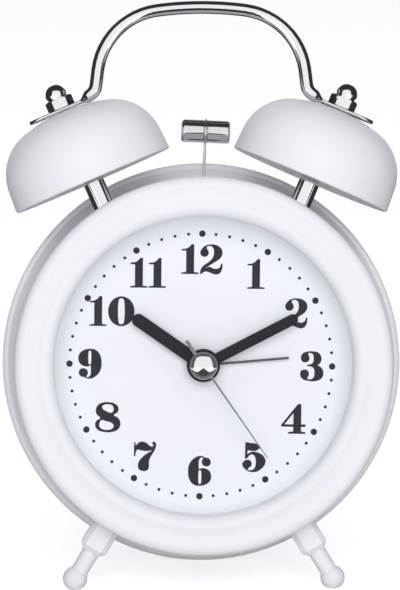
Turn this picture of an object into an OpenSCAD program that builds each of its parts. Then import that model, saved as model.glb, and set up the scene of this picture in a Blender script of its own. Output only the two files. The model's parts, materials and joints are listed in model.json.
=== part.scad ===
// Twin bell alarm clock. Everything is drawn about the dial axis: x to the right, y back from the
// bezel's front, z up. The stand module then leans it back on its feet and the drum's rear bead.

/* [Feet] */
// Angle of each foot from straight down
foot_angle = 31.2; // [27:0.1:34]
// Depth of the feet behind the bezel's front
foot_y = 11.5; // [11.2:0.1:13]
// Distance of each foot's ball from the dial axis
ball_at = 55.5; // [54:0.5:60]
// Radius of the ball
ball_r = 2.7; // [2.4:0.1:3.2]
// Width across the foot's square collar
collar_w = 6.0; // [5.4:0.1:6.4]
// Chamfer on the collar's edges
collar_chamfer = 1.0; // [0.4:0.1:1.4]
// Distance of the collar's lower face from the dial axis
collar_at = 47.6; // [46:0.1:50]
// Radius of the foot's neck
neck_r = 1.9; // [1.6:0.1:2.2]
// Depth of the flat that the ball stands on
sole_cut = 0.4; // [0.2:0.1:0.6]

/* [Drum] */
// Outer radius of the drum's straight part
drum_r = 41.0; // [40.8:0.1:42]
// Wall of the drum
drum_wall = 0.7; // [0.5:0.1:0.9]
// Radius of the flare's sweep
flare_sweep = 19.5; // [19:0.1:21]
// Depth where the flare ends in the bead
bead_y = 34.3; // [34:0.1:34.8]
// Radius of the rolled bead
bead_r = 0.95; // [0.8:0.05:1.1]

/* [Bezel and glass] */
// Radius of the window
window_r = 33.0; // [32:0.1:33.4]
// Radius of the bezel's inner roll
inner_roll_r = 2.4; // [2:0.1:2.8]
// Radius of the bezel's outer roll
outer_roll_r = 2.2; // [2:0.1:2.5]
// Radius of the valley between the rolls
valley_r = 2.0; // [1.5:0.1:3]
// Overlap of the bezel's skirt on the drum
skirt_lap = 3.0; // [2:0.1:4]
// Thickness of the bezel's skirt
skirt_wall = 0.85; // [0.7:0.05:1]
// Thickness of the lens
lens_t = 1.4; // [1:0.1:1.6]
// Width of the ledge that holds the lens
lens_ledge = 1.2; // [1:0.1:1.6]

/* [Dial and hands] */
// Depth of the dial's face
dial_y = 11.5; // [11.3:0.1:12]
// Thickness of the dial
dial_t = 0.6; // [0.4:0.1:0.8]
// Length of the hour hand from its centre
hour_len = 18.5; // [15:0.5:20]
// Width of the hour hand
hour_w = 2.7; // [2.2:0.1:3]
// Length of the minute hand from its centre
minute_len = 23.5; // [20:0.5:26]
// Width of the minute hand
minute_w = 2.2; // [1.8:0.1:2.6]
// Length of the second hand from its centre
second_len = 25.0; // [22:0.5:28]
// Tail of the second hand
second_tail = 6.8; // [5:0.1:8]
// Width of the second hand's tail
tail_w = 0.8; // [0.5:0.1:1.2]
// Length of the alarm hand from its centre
alarm_len = 19.2; // [15:0.5:20]
// Width of the second and alarm hands
needle_w = 0.5; // [0.4:0.05:0.8]
// Thickness of a hand
hand_t = 0.35; // [0.25:0.05:0.4]
// Radius of the cap on the hands' centre
cap_r = 3.1; // [2.8:0.1:3.4]
// Angles of the hands, clockwise from twelve: hour, minute, second, alarm
hand_angles = [305, 63, 145.5, 85.4];

/* [Bells] */
// Distance of each bell's rim centre to the side of the dial axis
bell_x = 24.4; // [23:0.1:26]
// Height of each bell's rim centre above the dial axis
bell_z = 41.3; // [41:0.1:44]
// Depth of the bells behind the bezel's front
bell_y = 20; // [19.5:0.1:20.5]
// Outward tilt of the bells
bell_tilt = 23.2; // [20:0.1:24]
// Radius of the rim
bell_r = 18.7; // [17:0.1:19]
// Height of the bell
bell_h = 17; // [16:0.1:18]
// Outward flare of the bell's side
bell_flare = 3; // [1:0.5:6]
// Radius of the bell's shoulder
shoulder_r = 11.5; // [10:0.1:12]
// Height of the shoulder's centre above the rim
shoulder_z = 4.5; // [4:0.1:4.9]
// Wall of the bell
bell_wall = 0.9; // [0.7:0.1:1.2]
// Radius of a bell post
post_r = 2.2; // [2:0.1:2.6]
// Radius of the screw threads on posts and feet
thread_r = 1.5; // [1.3:0.1:1.6]
// Width of the nuts across their flats
nut_w = 5.5; // [5:0.1:6]
// Height of the nuts' hexagon
nut_h = 2.3; // [2:0.1:2.6]

/* [Handle] */
// Height of the handle's crown, on its centre line, above the dial axis
handle_top = 80.3; // [77:0.1:82]
// Radius of the handle's rod
rod_r = 1.5; // [1.3:0.1:1.6]
// Radius of the crown's arc
crown_r = 75; // [60:1:90]
// Half width of the crown's arc
crown_half = 10; // [9:0.5:11]
// Radius of the arc from crown to leg
corner_r = 15.5; // [15:0.1:16]
// Inward lean of the legs
leg_lean = 7; // [5:0.5:9]
// Radius of the bend from leg to pad
pad_bend_r = 3; // [2.5:0.1:3.5]
// Thickness of the flattened pads
pad_t = 0.8; // [0.6:0.1:1]
// Width of the flattened pads
pad_w = 6.4; // [5.8:0.1:7]
// Reach of the pads outward of the nuts
pad_out = 8.0; // [6:0.1:8.4]

/* [Hammer] */
// Height of the hammer's pivot above the dial axis
pivot_z = 33; // [32.5:0.1:33.5]
// Height of the hammer's head above the dial axis
head_z = 52.4; // [50:0.1:53]
// Length of the head
head_len = 11; // [10:0.1:12]
// Radius of the head
head_r = 2.6; // [2:0.1:2.8]
// Radius of the hammer's wire
wire_r = 0.3; // [0.25:0.05:0.5]
// Angle at which the hammer comes to rest
rest_turn = 2.7; // [-3:0.1:3]

/* [Back] */
// Depth of the rear cover's inner face
cover_y = 33.2; // [33.1:0.1:33.6]
// Thickness of the rear cover
cover_t = 2.2; // [1.8:0.1:2.4]
// Radius of the setting knobs
knob_r = 5.5; // [5:0.1:6.5]
// Length of the setting knobs
knob_h = 7.5; // [6:0.5:9]
// Flutes round a knob
flutes = 18; // [12:1:24]
// Travel of the alarm switch
switch_travel = 4; // [3:0.5:5]
// Length of the battery
battery_len = 50.5; // [49.5:0.1:50.5]
// Radius of the battery
battery_r = 7.25; // [7:0.05:7.25]

/* [Movement] */
// Half width of the movement's case
case_half = 26; // [25.5:0.1:27]
// Top of the movement's case above the dial axis
case_top = 21; // [20.8:0.1:21.4]
// Wall of the movement's case
case_wall = 1.0; // [0.8:0.1:1.2]
// Depth of the movement's case
case_depth = 13.6; // [13.4:0.1:14]
// Thickness of the gear wheels
wheel_t = 1.0; // [0.8:0.05:1.1]
// Radius of the wheels' arbors
arbor_r = 0.4; // [0.3:0.05:0.45]
// Play at the pitch circle, for each gear
backlash = 0.07; // [0.05:0.01:0.09]
// Distance from the hands' centre to the intermediate wheel
motion_dist = 10; // [10:0.1:10.4]
// Distance from the hands' centre to the third wheel
third_dist = 9; // [9:0.1:9.4]
// Distance from the hands' centre to the step wheel
step_dist = 9.3; // [9.2:0.1:9.6]
// Distance from the step wheel to the rotor
rotor_dist = 6; // [5.8:0.1:6.2]
// Distance from the hands' centre to the alarm setting shaft
alarm_dist = 16; // [16:0.1:16.4]
// Thickness of the circuit board
board_t = 1.0; // [0.8:0.1:1.2]
// Height of the circuit board
board_h = 7; // [6.5:0.1:7.5]
// Distance of the circuit board from the case's side
board_inset = 6.2; // [6:0.1:6.6]
// Radius of the step motor's coil
drive_coil_r = 2.6; // [2.4:0.1:2.8]
// Length of the step motor's coil
drive_coil_len = 13; // [12:0.1:14]
// Radius of the rotor's magnet
magnet_r = 2.1; // [1.8:0.1:2.3]
// Thickness of the stator
stator_t = 1.0; // [0.8:0.1:1.2]

/* [Hidden] */
$fn = 64;

// Clearances: between fixed pieces, round a running shaft, between moving neighbours
fit_gap = 0.04;
run_gap = 0.06;
move_gap = 0.35;
// A cut runs this far past the face that it opens
past = 1;
// Room between pieces that must not touch
board_gap = 0.6;
end_play = 0.2;
wall_gap = 0.3;

// Drum: the flare begins behind the posts and is an arc about a point outside the wall
flare_y = bell_y + post_r + wall_gap;
drum_inner = drum_r - drum_wall;
flare_at = drum_r + flare_sweep;
bead_ring = flare_at - sqrt((flare_sweep + drum_wall / 2) ^ 2 - (bead_y - flare_y) ^ 2);
function flare_inside(y) =
    flare_at - sqrt((flare_sweep + drum_wall) ^ 2 - max(0, y - flare_y) ^ 2);

// Bezel: two rolls joined by a tangent valley
bezel_r = drum_r + fit_gap + skirt_wall;
inner_roll = [window_r + inner_roll_r, inner_roll_r];
outer_roll = [bezel_r - outer_roll_r, inner_roll_r];
lens_inset = 0.8;
lens_seat = 0.4;
lens_y = inner_roll_r + lens_inset;
lens_r = window_r + lens_ledge;
drum_y = lens_y + lens_t + lens_seat;
valley_reach = [inner_roll_r + valley_r, outer_roll_r + valley_r];
roll_gap = norm(outer_roll - inner_roll);
valley_along = (valley_reach[0] ^ 2 - valley_reach[1] ^ 2 + roll_gap ^ 2) / (2 * roll_gap);
valley_up = sqrt(valley_reach[0] ^ 2 - valley_along ^ 2);
roll_dir = (outer_roll - inner_roll) / roll_gap;
valley_at = inner_roll + valley_along * roll_dir + valley_up * [roll_dir[1], -roll_dir[0]];

// Stance: the lean that puts the balls and the rear bead on one level
foot_drop = ball_at * cos(foot_angle);
stance = [bead_y - foot_y, foot_drop - bead_ring];
lean = atan2(stance[1], stance[0]) + asin((ball_r - sole_cut - bead_r) / norm(stance));
stand_lift = foot_y * sin(lean) + foot_drop * cos(lean) + ball_r - sole_cut;

// Bell: a conical side, a shoulder arc and a crown arc, each tangent to the next
function bell_side(t) = bell_r - t / cos(bell_flare);
shoulder_x = bell_r - shoulder_z * tan(bell_flare) - shoulder_r / cos(bell_flare);
crown_lift = bell_h - shoulder_z;
bell_crown_r = (shoulder_x ^ 2 + crown_lift ^ 2 - shoulder_r ^ 2) / (2 * (crown_lift - shoulder_r));
crown_z = bell_h - bell_crown_r;
crown_angle = atan2(shoulder_z - crown_z, shoulder_x);

// Posts and nuts, measured along a bell's axis from its rim
axis_dir = [sin(bell_tilt), cos(bell_tilt)];
rim_at = [bell_x, bell_z];
post_low = (rim_at * axis_dir) - sqrt((rim_at * axis_dir) ^ 2 - rim_at * rim_at + drum_r ^ 2);
nut_corner = nut_w / 2 / cos(30);
wall_low = (rim_at * axis_dir)
    - sqrt((rim_at * axis_dir) ^ 2 - rim_at * rim_at + (drum_inner - wall_gap) ^ 2);
post_nut_at = -wall_low - nut_corner * tan(abs(atan2(bell_x, bell_z) - bell_tilt) * 2) - nut_h;
acorn_at = bell_h + pad_t;
acorn_dome_r = nut_w / 2 - wall_gap;
acorn_dome_h = 3.4;
foot_nut_at = sqrt(drum_inner ^ 2 - nut_corner ^ 2) - fit_gap;
thread_end = 0.6;
post_top = crown_z + sqrt((bell_crown_r - bell_wall) ^ 2 - post_r ^ 2) - fit_gap;
// The dial stops short of the feet's threads, or covers a wide window and is notched round them
foot_thread_at = foot_nut_at - nut_h - thread_end;
dial_r = max(foot_thread_at - 2 * move_gap, lens_r);

// Handle: points of its right half, x and z
crown_angle_half = asin(crown_half / crown_r);
crown_dir = [sin(crown_angle_half), cos(crown_angle_half)];
crown_at = [0, handle_top - crown_r];
corner_at = crown_at + (crown_r - corner_r) * crown_dir;
leg_top = corner_at + corner_r * [cos(leg_lean), sin(leg_lean)];
leg_dir = [sin(leg_lean), -cos(leg_lean)];
pad_dir = [-cos(bell_tilt), sin(bell_tilt)];
pad_rise = 0.6;
pad_axis = rim_at + (bell_h + pad_t / 2 + pad_rise) * axis_dir;
function cross2(a, b) = a[0] * b[1] - a[1] * b[0];
pad_run = cross2(leg_top - pad_axis, leg_dir) / cross2(pad_dir, leg_dir);
bend_turn = 90 - bell_tilt - leg_lean;
bend_cut = pad_bend_r * tan(bend_turn / 2);
bend_corner = pad_axis + pad_run * pad_dir;
leg_end = bend_corner - bend_cut * leg_dir;
pad_start = pad_run - bend_cut;
bend_at = pad_axis + pad_start * pad_dir + pad_bend_r * axis_dir;
flatten_len = 2.2;

// Movement: layers of gears from front to back
case_y = dial_y + dial_t;
case_bottom = -11.2;
layer_pitch = 1.45;
layer_gap = 0.4;
layer_y = case_y + case_wall + layer_gap;
function layer(i) = layer_y + i * layer_pitch;
rear_t = 1.4;
case_rear = case_y + case_depth;
case_back = case_rear - rear_t;
pressure = 20;
motion_angle = 150;
third_angle = 65;
step_angle = -20;
rotor_angle = -35;
alarm_angle = 18;
function polar(r, a) = r * [cos(a), sin(a)];
motion_at = polar(motion_dist, motion_angle);
time_at = motion_at + polar(motion_dist, 180);
third_at = polar(third_dist, third_angle);
step_at = polar(step_dist, step_angle);
rotor_at = step_at + polar(rotor_dist, rotor_angle);
alarm_at = polar(alarm_dist, alarm_angle);

// Teeth of each meshing pair, driven gear first
cannon_teeth = [10, 30];
hour_teeth = [40, 10];
time_teeth = 10;
centre_teeth = [64, 8];
third_teeth = [8, 60];
second_teeth = [48, 8];
step_teeth = [40, 8];
alarm_teeth = [40, 40];
function pair_module(teeth, dist) = 2 * dist / (teeth[0] + teeth[1]);
// Turn of a gear that meshes with another, along a line of centres
function mesh_turn(turn, teeth, other, along) =
    along + 180 - (turn - along) * teeth / other - 180 / other;
motion_module = pair_module(cannon_teeth, motion_dist);
hour_module = pair_module(hour_teeth, motion_dist);
centre_module = pair_module(centre_teeth, third_dist);
third_module = pair_module(third_teeth, third_dist);
second_module = pair_module(second_teeth, step_dist);
step_module = pair_module(step_teeth, rotor_dist);
alarm_module = pair_module(alarm_teeth, alarm_dist);
motion_turn = mesh_turn(0, cannon_teeth[0], cannon_teeth[1], motion_angle);
time_turn = mesh_turn(motion_turn, cannon_teeth[1], time_teeth, 180);
alarm_turn = mesh_turn(0, alarm_teeth[0], alarm_teeth[1], alarm_angle);

// Pipes of the hands, from the second hand's arbor outward
second_r = 0.5;
pipe_wall = 0.42;
hand_lift = 1.1;
minute_bore = second_r + run_gap;
minute_r = minute_bore + pipe_wall;
hour_bore = minute_r + run_gap;
hour_r = hour_bore + pipe_wall;
alarm_bore = hour_r + run_gap;
alarm_r = alarm_bore + pipe_wall;
hand_step = 1.15;
alarm_hand_y = dial_y - hand_lift;
hour_hand_y = alarm_hand_y - hand_step;
minute_hand_y = hour_hand_y - hand_step;
second_hand_y = minute_hand_y - hand_step;
cap_h = 1.5;
hour_hub_wall = 1.4;
needle_hub_wall = 0.9;
minute_hub_rim = 0.6;

// Back
stem_r = 0.9;
knob_end = 1;
cover_rear = cover_y + cover_t;
cover_gap = 0.25;
cover_r = flare_inside(cover_y) - cover_gap;
knob_gap = 0.4;
knob_y = cover_rear + knob_gap;
lug_angles = [0, 180, 270];
lug_len = 7;
lug_t = 1.2;
lug_screw_r = 1.1;
lug_screw_in = 3.6;
lug_edge = 2.6;
lug_screw_at = flare_inside(cover_y - lug_t) - lug_screw_in;
lug_screw_past = 1.5;
tray_drop = 1.85;
tray_roof = 0.5;
tray_depth = 4;
battery_z = case_bottom - battery_r - tray_drop;
battery_y = cover_y - battery_r - tray_roof;
contact_t = 0.5;
contact_room = 1.6;
tray_wall = 1.0;
tray_half = battery_len / 2 + contact_room + tray_wall;
tray_gap = 0.2;
door_half = tray_half - tray_wall;
door_h = 2 * battery_r + 2 * tray_gap;
door_lip = 1.0;
door_t = 1.2;
door_corner = 1.5;
door_gap = 0.2;
door_seat = 0.05;
ridge_h = 0.5;
ridge_w = 0.7;
ridge_len = 8;
ridge_pitch = 1.4;
ridge_start = 9;
switch_z = 24.7;
switch_x = -switch_travel / 2 - 1;
switch_w = 6;
switch_h = 4;
switch_neck = [3.6, 3.2];
switch_shoe = [7, 5.6];
shoe_t = 1.2;
shoe_gap = 0.2;
thumb_gap = 0.15;
thumb_t = 2.05;
boss_r = 2.4;
boss_in = 3.2;
boss_at = [for (x = [case_half - boss_in, boss_in - case_half])
    for (z = [case_top - boss_in, case_bottom + boss_in]) [x, z]];
case_corner = 2;
screw_r = 1.0;
screw_head_r = 1.9;
screw_head_h = 1.1;
screw_bite = 4;
cross_w = 0.4;
cross_depth = 0.5;

// Circuit board and step motor
board_y = layer(4) + board_gap;
board_top = case_top - case_wall - board_gap;
board_end = 6;
coil_at = [alarm_at[0] + stem_r + move_gap + drive_coil_r, alarm_at[1]];
stator_y = layer(4);
magnet_lip = 0.8;
stator_leg = 1.6;
stator_arm = 3;
stator_rim = 1.4;
air_gap = 0.4;

// Striker
lever_len = 9;
bracket_back = 5.2;
coil_drop = 5.9;
hub_r = 2.2;
pin_r = 0.75;
pin_end = 0.8;
lever_half = 2.2;
arm_share = 0.7;
arm_end = 1.0;
socket_len = 2.2;
armature_size = [4.6, 4.4, 3.1];
armature_at = 5.8;
armature_slot = 4.0;
bracket_y = bell_y + bracket_back;
bracket_t = 1.0;
bracket_x = [-7, 20];
bracket_h = 11;
bracket_bite = 2.6;
bracket_ear = 5;
bracket_ear_top = 3.4;
bracket_screw_x = [-4.5, 3.2];
bracket_screw_y = case_y + 3.4;
block = [13, 6.2, 4];
block_x = -7;
coil_r = 4.7;
winding_step = 0.8;
coil_z = pivot_z - coil_drop;
coil_x = [5.5, 16];
core_r = 1.6;
core_face = 4.0;
yoke_t = 1.2;
yoke_h = 8;
yoke_front = 1;
slot_len = 8;
slot_w = 3;

// Overall depth, for the origin at the middle of the footprint
front_reach = min(
    inner_roll[1] * cos(lean) - inner_roll[0] * sin(lean) - inner_roll_r,
    outer_roll[1] * cos(lean) - outer_roll[0] * sin(lean) - outer_roll_r);
knob_top = max(time_at[1], alarm_at[1]) + knob_r;
bell_back = bell_r * norm([cos(lean), sin(lean) * sin(bell_tilt)]);
back_reach = max(
    (knob_y + knob_h) * cos(lean) + knob_top * sin(lean),
    bell_y * cos(lean) + bell_z * sin(lean) + bell_back);
stand_shift = -(front_reach + back_reach) / 2;

steel_white = [0.95, 0.95, 0.96];
plastic_white = [0.93, 0.93, 0.93];
chrome = [0.78, 0.79, 0.8];
ink_black = [0.12, 0.12, 0.14];
brass = [0.8, 0.66, 0.32];

// Leans the clock back and stands it on the ground
module stand() {
    translate([0, stand_shift, stand_lift])
        rotate([-lean, 0, 0])
            children();
}

// Turns a profile of radius and depth about the dial axis
module turned(angle = 360) {
    rotate([-90, 0, 0])
        rotate_extrude(angle = angle)
            children();
}

// A rod along the dial axis between two depths
module depth_rod(r, y0, y1, at = [0, 0]) {
    translate([at[0], y0, at[1]])
        rotate([-90, 0, 0])
            cylinder(r = r, h = y1 - y0);
}

// A shape drawn as seen from the front, from one depth back to another
module slab(y0, y1) {
    translate([0, y1, 0])
        rotate([90, 0, 0])
            linear_extrude(y1 - y0)
                children();
}

// A rectangle between two corners with round corners
module round_rect(low, high, r) {
    for (i = [0, 1]) {
        inset = [i * r, (1 - i) * r];
        translate(low + inset)
            square(high - low - 2 * inset);
    }
    for (x = [low[0] + r, high[0] - r], y = [low[1] + r, high[1] - r])
        translate([x, y])
            circle(r);
}

// A bar with round ends from one distance to another along x
module round_bar(from, to, w) {
    translate([from, -w / 2])
        square([to - from, w]);
    for (x = [from, to])
        translate([x, 0])
            circle(d = w);
}

// Places a child at a bell's rim centre with z along the bell's axis
module bell_frame(side) {
    translate([side * bell_x, bell_y, bell_z])
        rotate([0, side * bell_tilt, 0])
            children();
}

// Places a child on a foot's axis with z away from the dial axis
module foot_frame(side) {
    translate([0, foot_y, 0])
        rotate([0, side * (180 - foot_angle), 0])
            children();
}

module hex(h, bore_r) {
    difference() {
        cylinder(r = nut_corner, h = h, $fn = 6);
        translate([0, 0, -past])
            cylinder(r = bore_r, h = h + 2 * past);
    }
}

// Involute spur gears
function involute(a) = tan(a) * 180 / PI - a;
function tooth_half(radius, teeth, m) =
    let (pitch = m * teeth / 2, base = pitch * cos(pressure))
    let (a = radius > base ? acos(base / radius) : 0)
    90 / teeth - backlash / pitch * 90 / PI + involute(pressure) - involute(a);
function tooth(teeth, m) =
    let (pitch = m * teeth / 2, root = pitch - 1.2 * m, tip = pitch + 0.85 * m)
    let (foot = tooth_half(max(root, pitch * cos(pressure)), teeth, m) * (teeth < 20 ? 0.8 : 1))
    let (mid = tooth_half(pitch, teeth, m), top = tooth_half(tip, teeth, m))
    [[root, -foot], [pitch, -mid], [tip, -top], [tip, top], [pitch, mid], [root, foot]];

module gear(teeth, m, turn) {
    polygon([for (i = [0 : teeth - 1]) for (p = tooth(teeth, m))
        polar(p[0], turn + 360 * i / teeth + p[1])]);
}

// A gear on its arbor, in one layer of the movement
module wheel(at, layer_no, teeth, m, turn, bore) {
    y0 = layer(layer_no);
    translate([at[0], 0, at[1]])
        slab(y0, y0 + wheel_t)
            difference() {
                gear(teeth, m, turn);
                if (bore > 0)
                    circle(bore);
            }
}

// A pivoted arbor between the movement's plates
module arbor(at) {
    depth_rod(arbor_r, case_y + end_play, case_rear - end_play, at);
}

// Section of the drum's sheet: straight wall, flare and bead
module drum_section() {
    translate([drum_inner, drum_y])
        square([drum_wall, flare_y - drum_y]);
    intersection() {
        translate([flare_at, flare_y])
            difference() {
                circle(flare_sweep + drum_wall, $fn = 180);
                circle(flare_sweep, $fn = 180);
            }
        translate([drum_inner, flare_y])
            square([bead_ring - drum_inner + drum_wall, bead_y - flare_y]);
    }
    translate([bead_ring, bead_y])
        circle(bead_r);
}

module drum_case() {
    color(steel_white)
        stand()
            difference() {
                union() {
                    turned()
                        drum_section();
                    for (a = lug_angles)
                        rotate([0, -a, 0])
                            lug();
                }
                for (side = [-1, 1]) {
                    bell_frame(side)
                        translate([0, 0, post_nut_at])
                            cylinder(r = thread_r + fit_gap, h = -post_nut_at);
                    foot_frame(side)
                        translate([0, 0, foot_nut_at - past])
                            cylinder(r = thread_r + fit_gap, h = drum_r - foot_nut_at + 2 * past);
                }
                translate([0, bell_y, drum_r])
                    cube([slot_len, slot_w, drum_r - drum_inner + 6 * past], center = true);
            }
}

// A screw lug that carries the rear cover, on the right-hand wall
module lug() {
    difference() {
        slab(cover_y - lug_t, cover_y)
            translate([0, -lug_len / 2])
                square([flare_inside(cover_y - lug_t) + drum_wall / 3, lug_len]);
        depth_rod(lug_screw_at - lug_edge, cover_y - lug_t - past, cover_y + past);
        depth_rod(lug_screw_r + fit_gap, cover_y - lug_t - past, cover_y + past, [lug_screw_at, 0]);
    }
}

module front_bezel() {
    color(steel_white)
        stand()
            turned()
                difference() {
                    union() {
                        translate(inner_roll)
                            circle(inner_roll_r);
                        translate(outer_roll)
                            circle(outer_roll_r);
                        difference() {
                            polygon([inner_roll, valley_at, outer_roll]);
                            translate(valley_at)
                                circle(valley_r);
                        }
                        translate([window_r, inner_roll[1]])
                            square([bezel_r - window_r, drum_y - inner_roll[1]]);
                        translate([bezel_r - skirt_wall, outer_roll[1]])
                            square([skirt_wall, drum_y + skirt_lap - outer_roll[1]]);
                    }
                    translate([window_r - past, lens_y])
                        square([lens_ledge + fit_gap + past, drum_y]);
                    translate([lens_r, drum_y])
                        square([drum_r + fit_gap - lens_r, drum_y]);
                }
}

module lens() {
    color([0.9, 0.95, 1, 0.25])
        stand()
            depth_rod(lens_r, lens_y, lens_y + lens_t);
}

// Room for the feet's nuts and threads in the dial and its ring
module foot_notches() {
    for (side = [-1, 1])
        foot_frame(side)
            translate([0, 0, foot_thread_at - move_gap])
                cylinder(r = nut_corner + move_gap, h = drum_r - foot_thread_at);
}

module dial_ring() {
    ring_in = window_r + end_play;
    color(plastic_white)
        stand()
            difference() {
                turned() {
                    translate([ring_in, lens_y + lens_t])
                        square([lens_ledge - 2 * end_play, dial_y - lens_y - lens_t]);
                    translate([ring_in, dial_y - case_wall])
                        square([dial_r - ring_in, case_wall]);
                }
                foot_notches();
            }
}

module dial() {
    color([0.94, 0.94, 0.96])
        stand()
            difference() {
                depth_rod(dial_r, dial_y, dial_y + dial_t);
                depth_rod(alarm_r + run_gap, dial_y - past, dial_y + dial_t + past);
                foot_notches();
            }
}

// A hand's outline, pointing to twelve, turned clockwise
module hand(y, angle, pipe_r) {
    slab(y, y + hand_t)
        rotate(90 - angle)
            difference() {
                children();
                circle(pipe_r + fit_gap / 2);
            }
}

module hour_hand() {
    color(ink_black)
        stand()
            hand(hour_hand_y, hand_angles[0], hour_r) {
                round_bar(0, hour_len - hour_w / 2, hour_w);
                circle(hour_r + hour_hub_wall);
            }
}

module minute_hand() {
    color(ink_black)
        stand() {
            hand(minute_hand_y, hand_angles[1], minute_r) {
                round_bar(0, minute_len - minute_w / 2, minute_w);
                circle(cap_r + minute_hub_rim);
            }
        }
}

module second_hand() {
    color(chrome)
        stand()
            hand(second_hand_y, hand_angles[2], second_r) {
                round_bar(0, second_len, needle_w);
                round_bar(tail_w / 2 - second_tail, 0, tail_w);
                circle(second_r + needle_hub_wall);
            }
}

module alarm_hand() {
    color([0.3, 0.3, 0.32])
        stand()
            hand(alarm_hand_y, hand_angles[3], alarm_r) {
                round_bar(0, alarm_len, needle_w);
                circle(alarm_r + needle_hub_wall);
            }
}

// Domed cap on the second hand's arbor
module hand_cap() {
    dome_r = (cap_r ^ 2 + cap_h ^ 2) / (2 * cap_h);
    color(chrome)
        stand()
            turned()
                intersection() {
                    translate([0, second_hand_y - cap_h + dome_r])
                        circle(dome_r, $fn = 180);
                    translate([0, second_hand_y - cap_h - past])
                        square([cap_r, cap_h + past]);
                }
}

// Half section of a bell, drawn in by a wall's thickness
module bell_section(t) {
    side = [cos(bell_flare), sin(bell_flare)];
    shoulder = [shoulder_x, shoulder_z];
    intersection() {
        union() {
            polygon([
                [0, 0], [bell_side(t), 0], shoulder + (shoulder_r - t) * side, shoulder, [0, shoulder_z]]);
            translate(shoulder)
                circle(shoulder_r - t, $fn = 180);
            intersection() {
                translate([0, crown_z])
                    circle(bell_crown_r - t, $fn = 180);
                translate([0, crown_z])
                    polygon([[0, 0], [0, 2 * bell_crown_r], polar(2 * bell_crown_r, crown_angle)]);
            }
        }
        square([2 * bell_r, bell_h + past]);
    }
}

module bell(side) {
    color(steel_white)
        stand()
            bell_frame(side)
                rotate_extrude()
                    difference() {
                        bell_section(0);
                        translate([0, -0.01])
                            bell_section(bell_wall);
                        square([thread_r + fit_gap, 2 * bell_h]);
                    }
}

module left_bell() {
    bell(-1);
}

module right_bell() {
    bell(1);
}

// Turned post, coped to the drum, with a thread at each end
module bell_post(side) {
    color(chrome)
        stand()
            difference() {
                bell_frame(side) {
                    translate([0, 0, -post_low - post_r])
                        cylinder(r = post_r, h = post_low + post_r + post_top);
                    translate([0, 0, post_nut_at - thread_end])
                        cylinder(r = thread_r, h = acorn_at + nut_h + 2 * thread_end - post_nut_at);
                }
                difference() {
                    depth_rod(drum_r, bell_y - bell_r, bell_y + bell_r);
                    bell_frame(side)
                        translate([0, 0, -4 * bell_h])
                            cylinder(r = thread_r, h = 8 * bell_h);
                }
            }
}

module left_bell_post() {
    bell_post(-1);
}

module right_bell_post() {
    bell_post(1);
}

module acorn_nuts() {
    color(chrome)
        stand()
            for (side = [-1, 1])
                bell_frame(side)
                    translate([0, 0, acorn_at])
                        difference() {
                            union() {
                                cylinder(r = nut_corner, h = nut_h, $fn = 6);
                                rotate_extrude()
                                    intersection() {
                                        translate([0, nut_h + acorn_dome_h - acorn_dome_r])
                                            union() {
                                                circle(acorn_dome_r);
                                                translate([0, -nut_h])
                                                    square([acorn_dome_r, nut_h]);
                                            }
                                        square([nut_w, nut_h + acorn_dome_h]);
                                    }
                            }
                            translate([0, 0, -past])
                                cylinder(r = thread_r + fit_gap, h = nut_h + thread_end + fit_gap + past);
                        }
}

module post_nuts() {
    color(chrome)
        stand()
            for (side = [-1, 1])
                bell_frame(side)
                    translate([0, 0, post_nut_at])
                        hex(nut_h, thread_r + fit_gap);
}

// Stations along the handle's right half, from the crown's middle to the end of the pad.
// Each is [point, direction, half width, half thickness, squareness of the section].
function rod_station(at, r, a, way) =
    [at + polar(r, a), way * [-sin(a), cos(a)], rod_r, rod_r, 2];
function blend(a, b, f) = a + (b - a) * f * f * (3 - 2 * f);
function pad_station(s, f, w) = [
    pad_axis + s * -pad_dir - blend(0, pad_rise, f) * axis_dir,
    -pad_dir, w, blend(rod_r, pad_t / 2, f), blend(2, 7, f)];
pad_round = pad_out - pad_w / 2;
half_stations = concat(
    [for (i = [1 : 6]) rod_station(crown_at, crown_r, 90 - crown_angle_half * i / 6, -1)],
    [for (i = [1 : 12]) rod_station(corner_at, corner_r,
        90 - crown_angle_half - (90 - crown_angle_half - leg_lean) * i / 12, -1)],
    [for (i = [0 : 7]) rod_station(bend_at, pad_bend_r, 180 + leg_lean + bend_turn * i / 7, 1)],
    [for (i = [1 : 5])
        pad_station(-pad_start + flatten_len * i / 5, i / 5, blend(rod_r, pad_w / 2, i / 5))],
    [for (a = [0 : 17 : 85]) pad_station(pad_round + pad_w / 2 * sin(a), 1, pad_w / 2 * cos(a))]);
stations = concat(
    [for (i = [len(half_stations) - 1 : -1 : 0]) let (q = half_stations[i])
        [[-q[0][0], q[0][1]], [q[1][0], -q[1][1]], q[2], q[3], q[4]]],
    [rod_station(crown_at, crown_r, 90, -1)],
    half_stations);
section_points = 20;
function squared(v, n) = sign(v) * abs(v) ^ (2 / n);
function station_ring(q) = [for (j = [0 : section_points - 1])
    let (a = 360 * j / section_points, up = [-q[1][1], q[1][0]])
    let (across = q[2] * squared(cos(a), q[4]), at = q[0] + q[3] * squared(sin(a), q[4]) * up)
    [at[0], bell_y + across, at[1]]];

// Rod bent to an arch and flattened to a drilled pad at each end
module carry_handle() {
    last = len(stations) - 1;
    n = section_points;
    color(chrome)
        stand()
            difference() {
                polyhedron(
                    [for (q = stations) each station_ring(q)],
                    concat(
                        [[for (j = [0 : n - 1]) n - 1 - j], [for (j = [0 : n - 1]) last * n + j]],
                        [for (i = [0 : last - 1]) for (j = [0 : n - 1]) let (k = (j + 1) % n)
                            each [[i * n + j, i * n + k, i * n + n + k],
                                [i * n + j, i * n + n + k, i * n + n + j]]]));
                for (side = [-1, 1])
                    bell_frame(side)
                        translate([0, 0, bell_h - past])
                            cylinder(r = thread_r + fit_gap, h = pad_t + 2 * past);
            }
}

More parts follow.
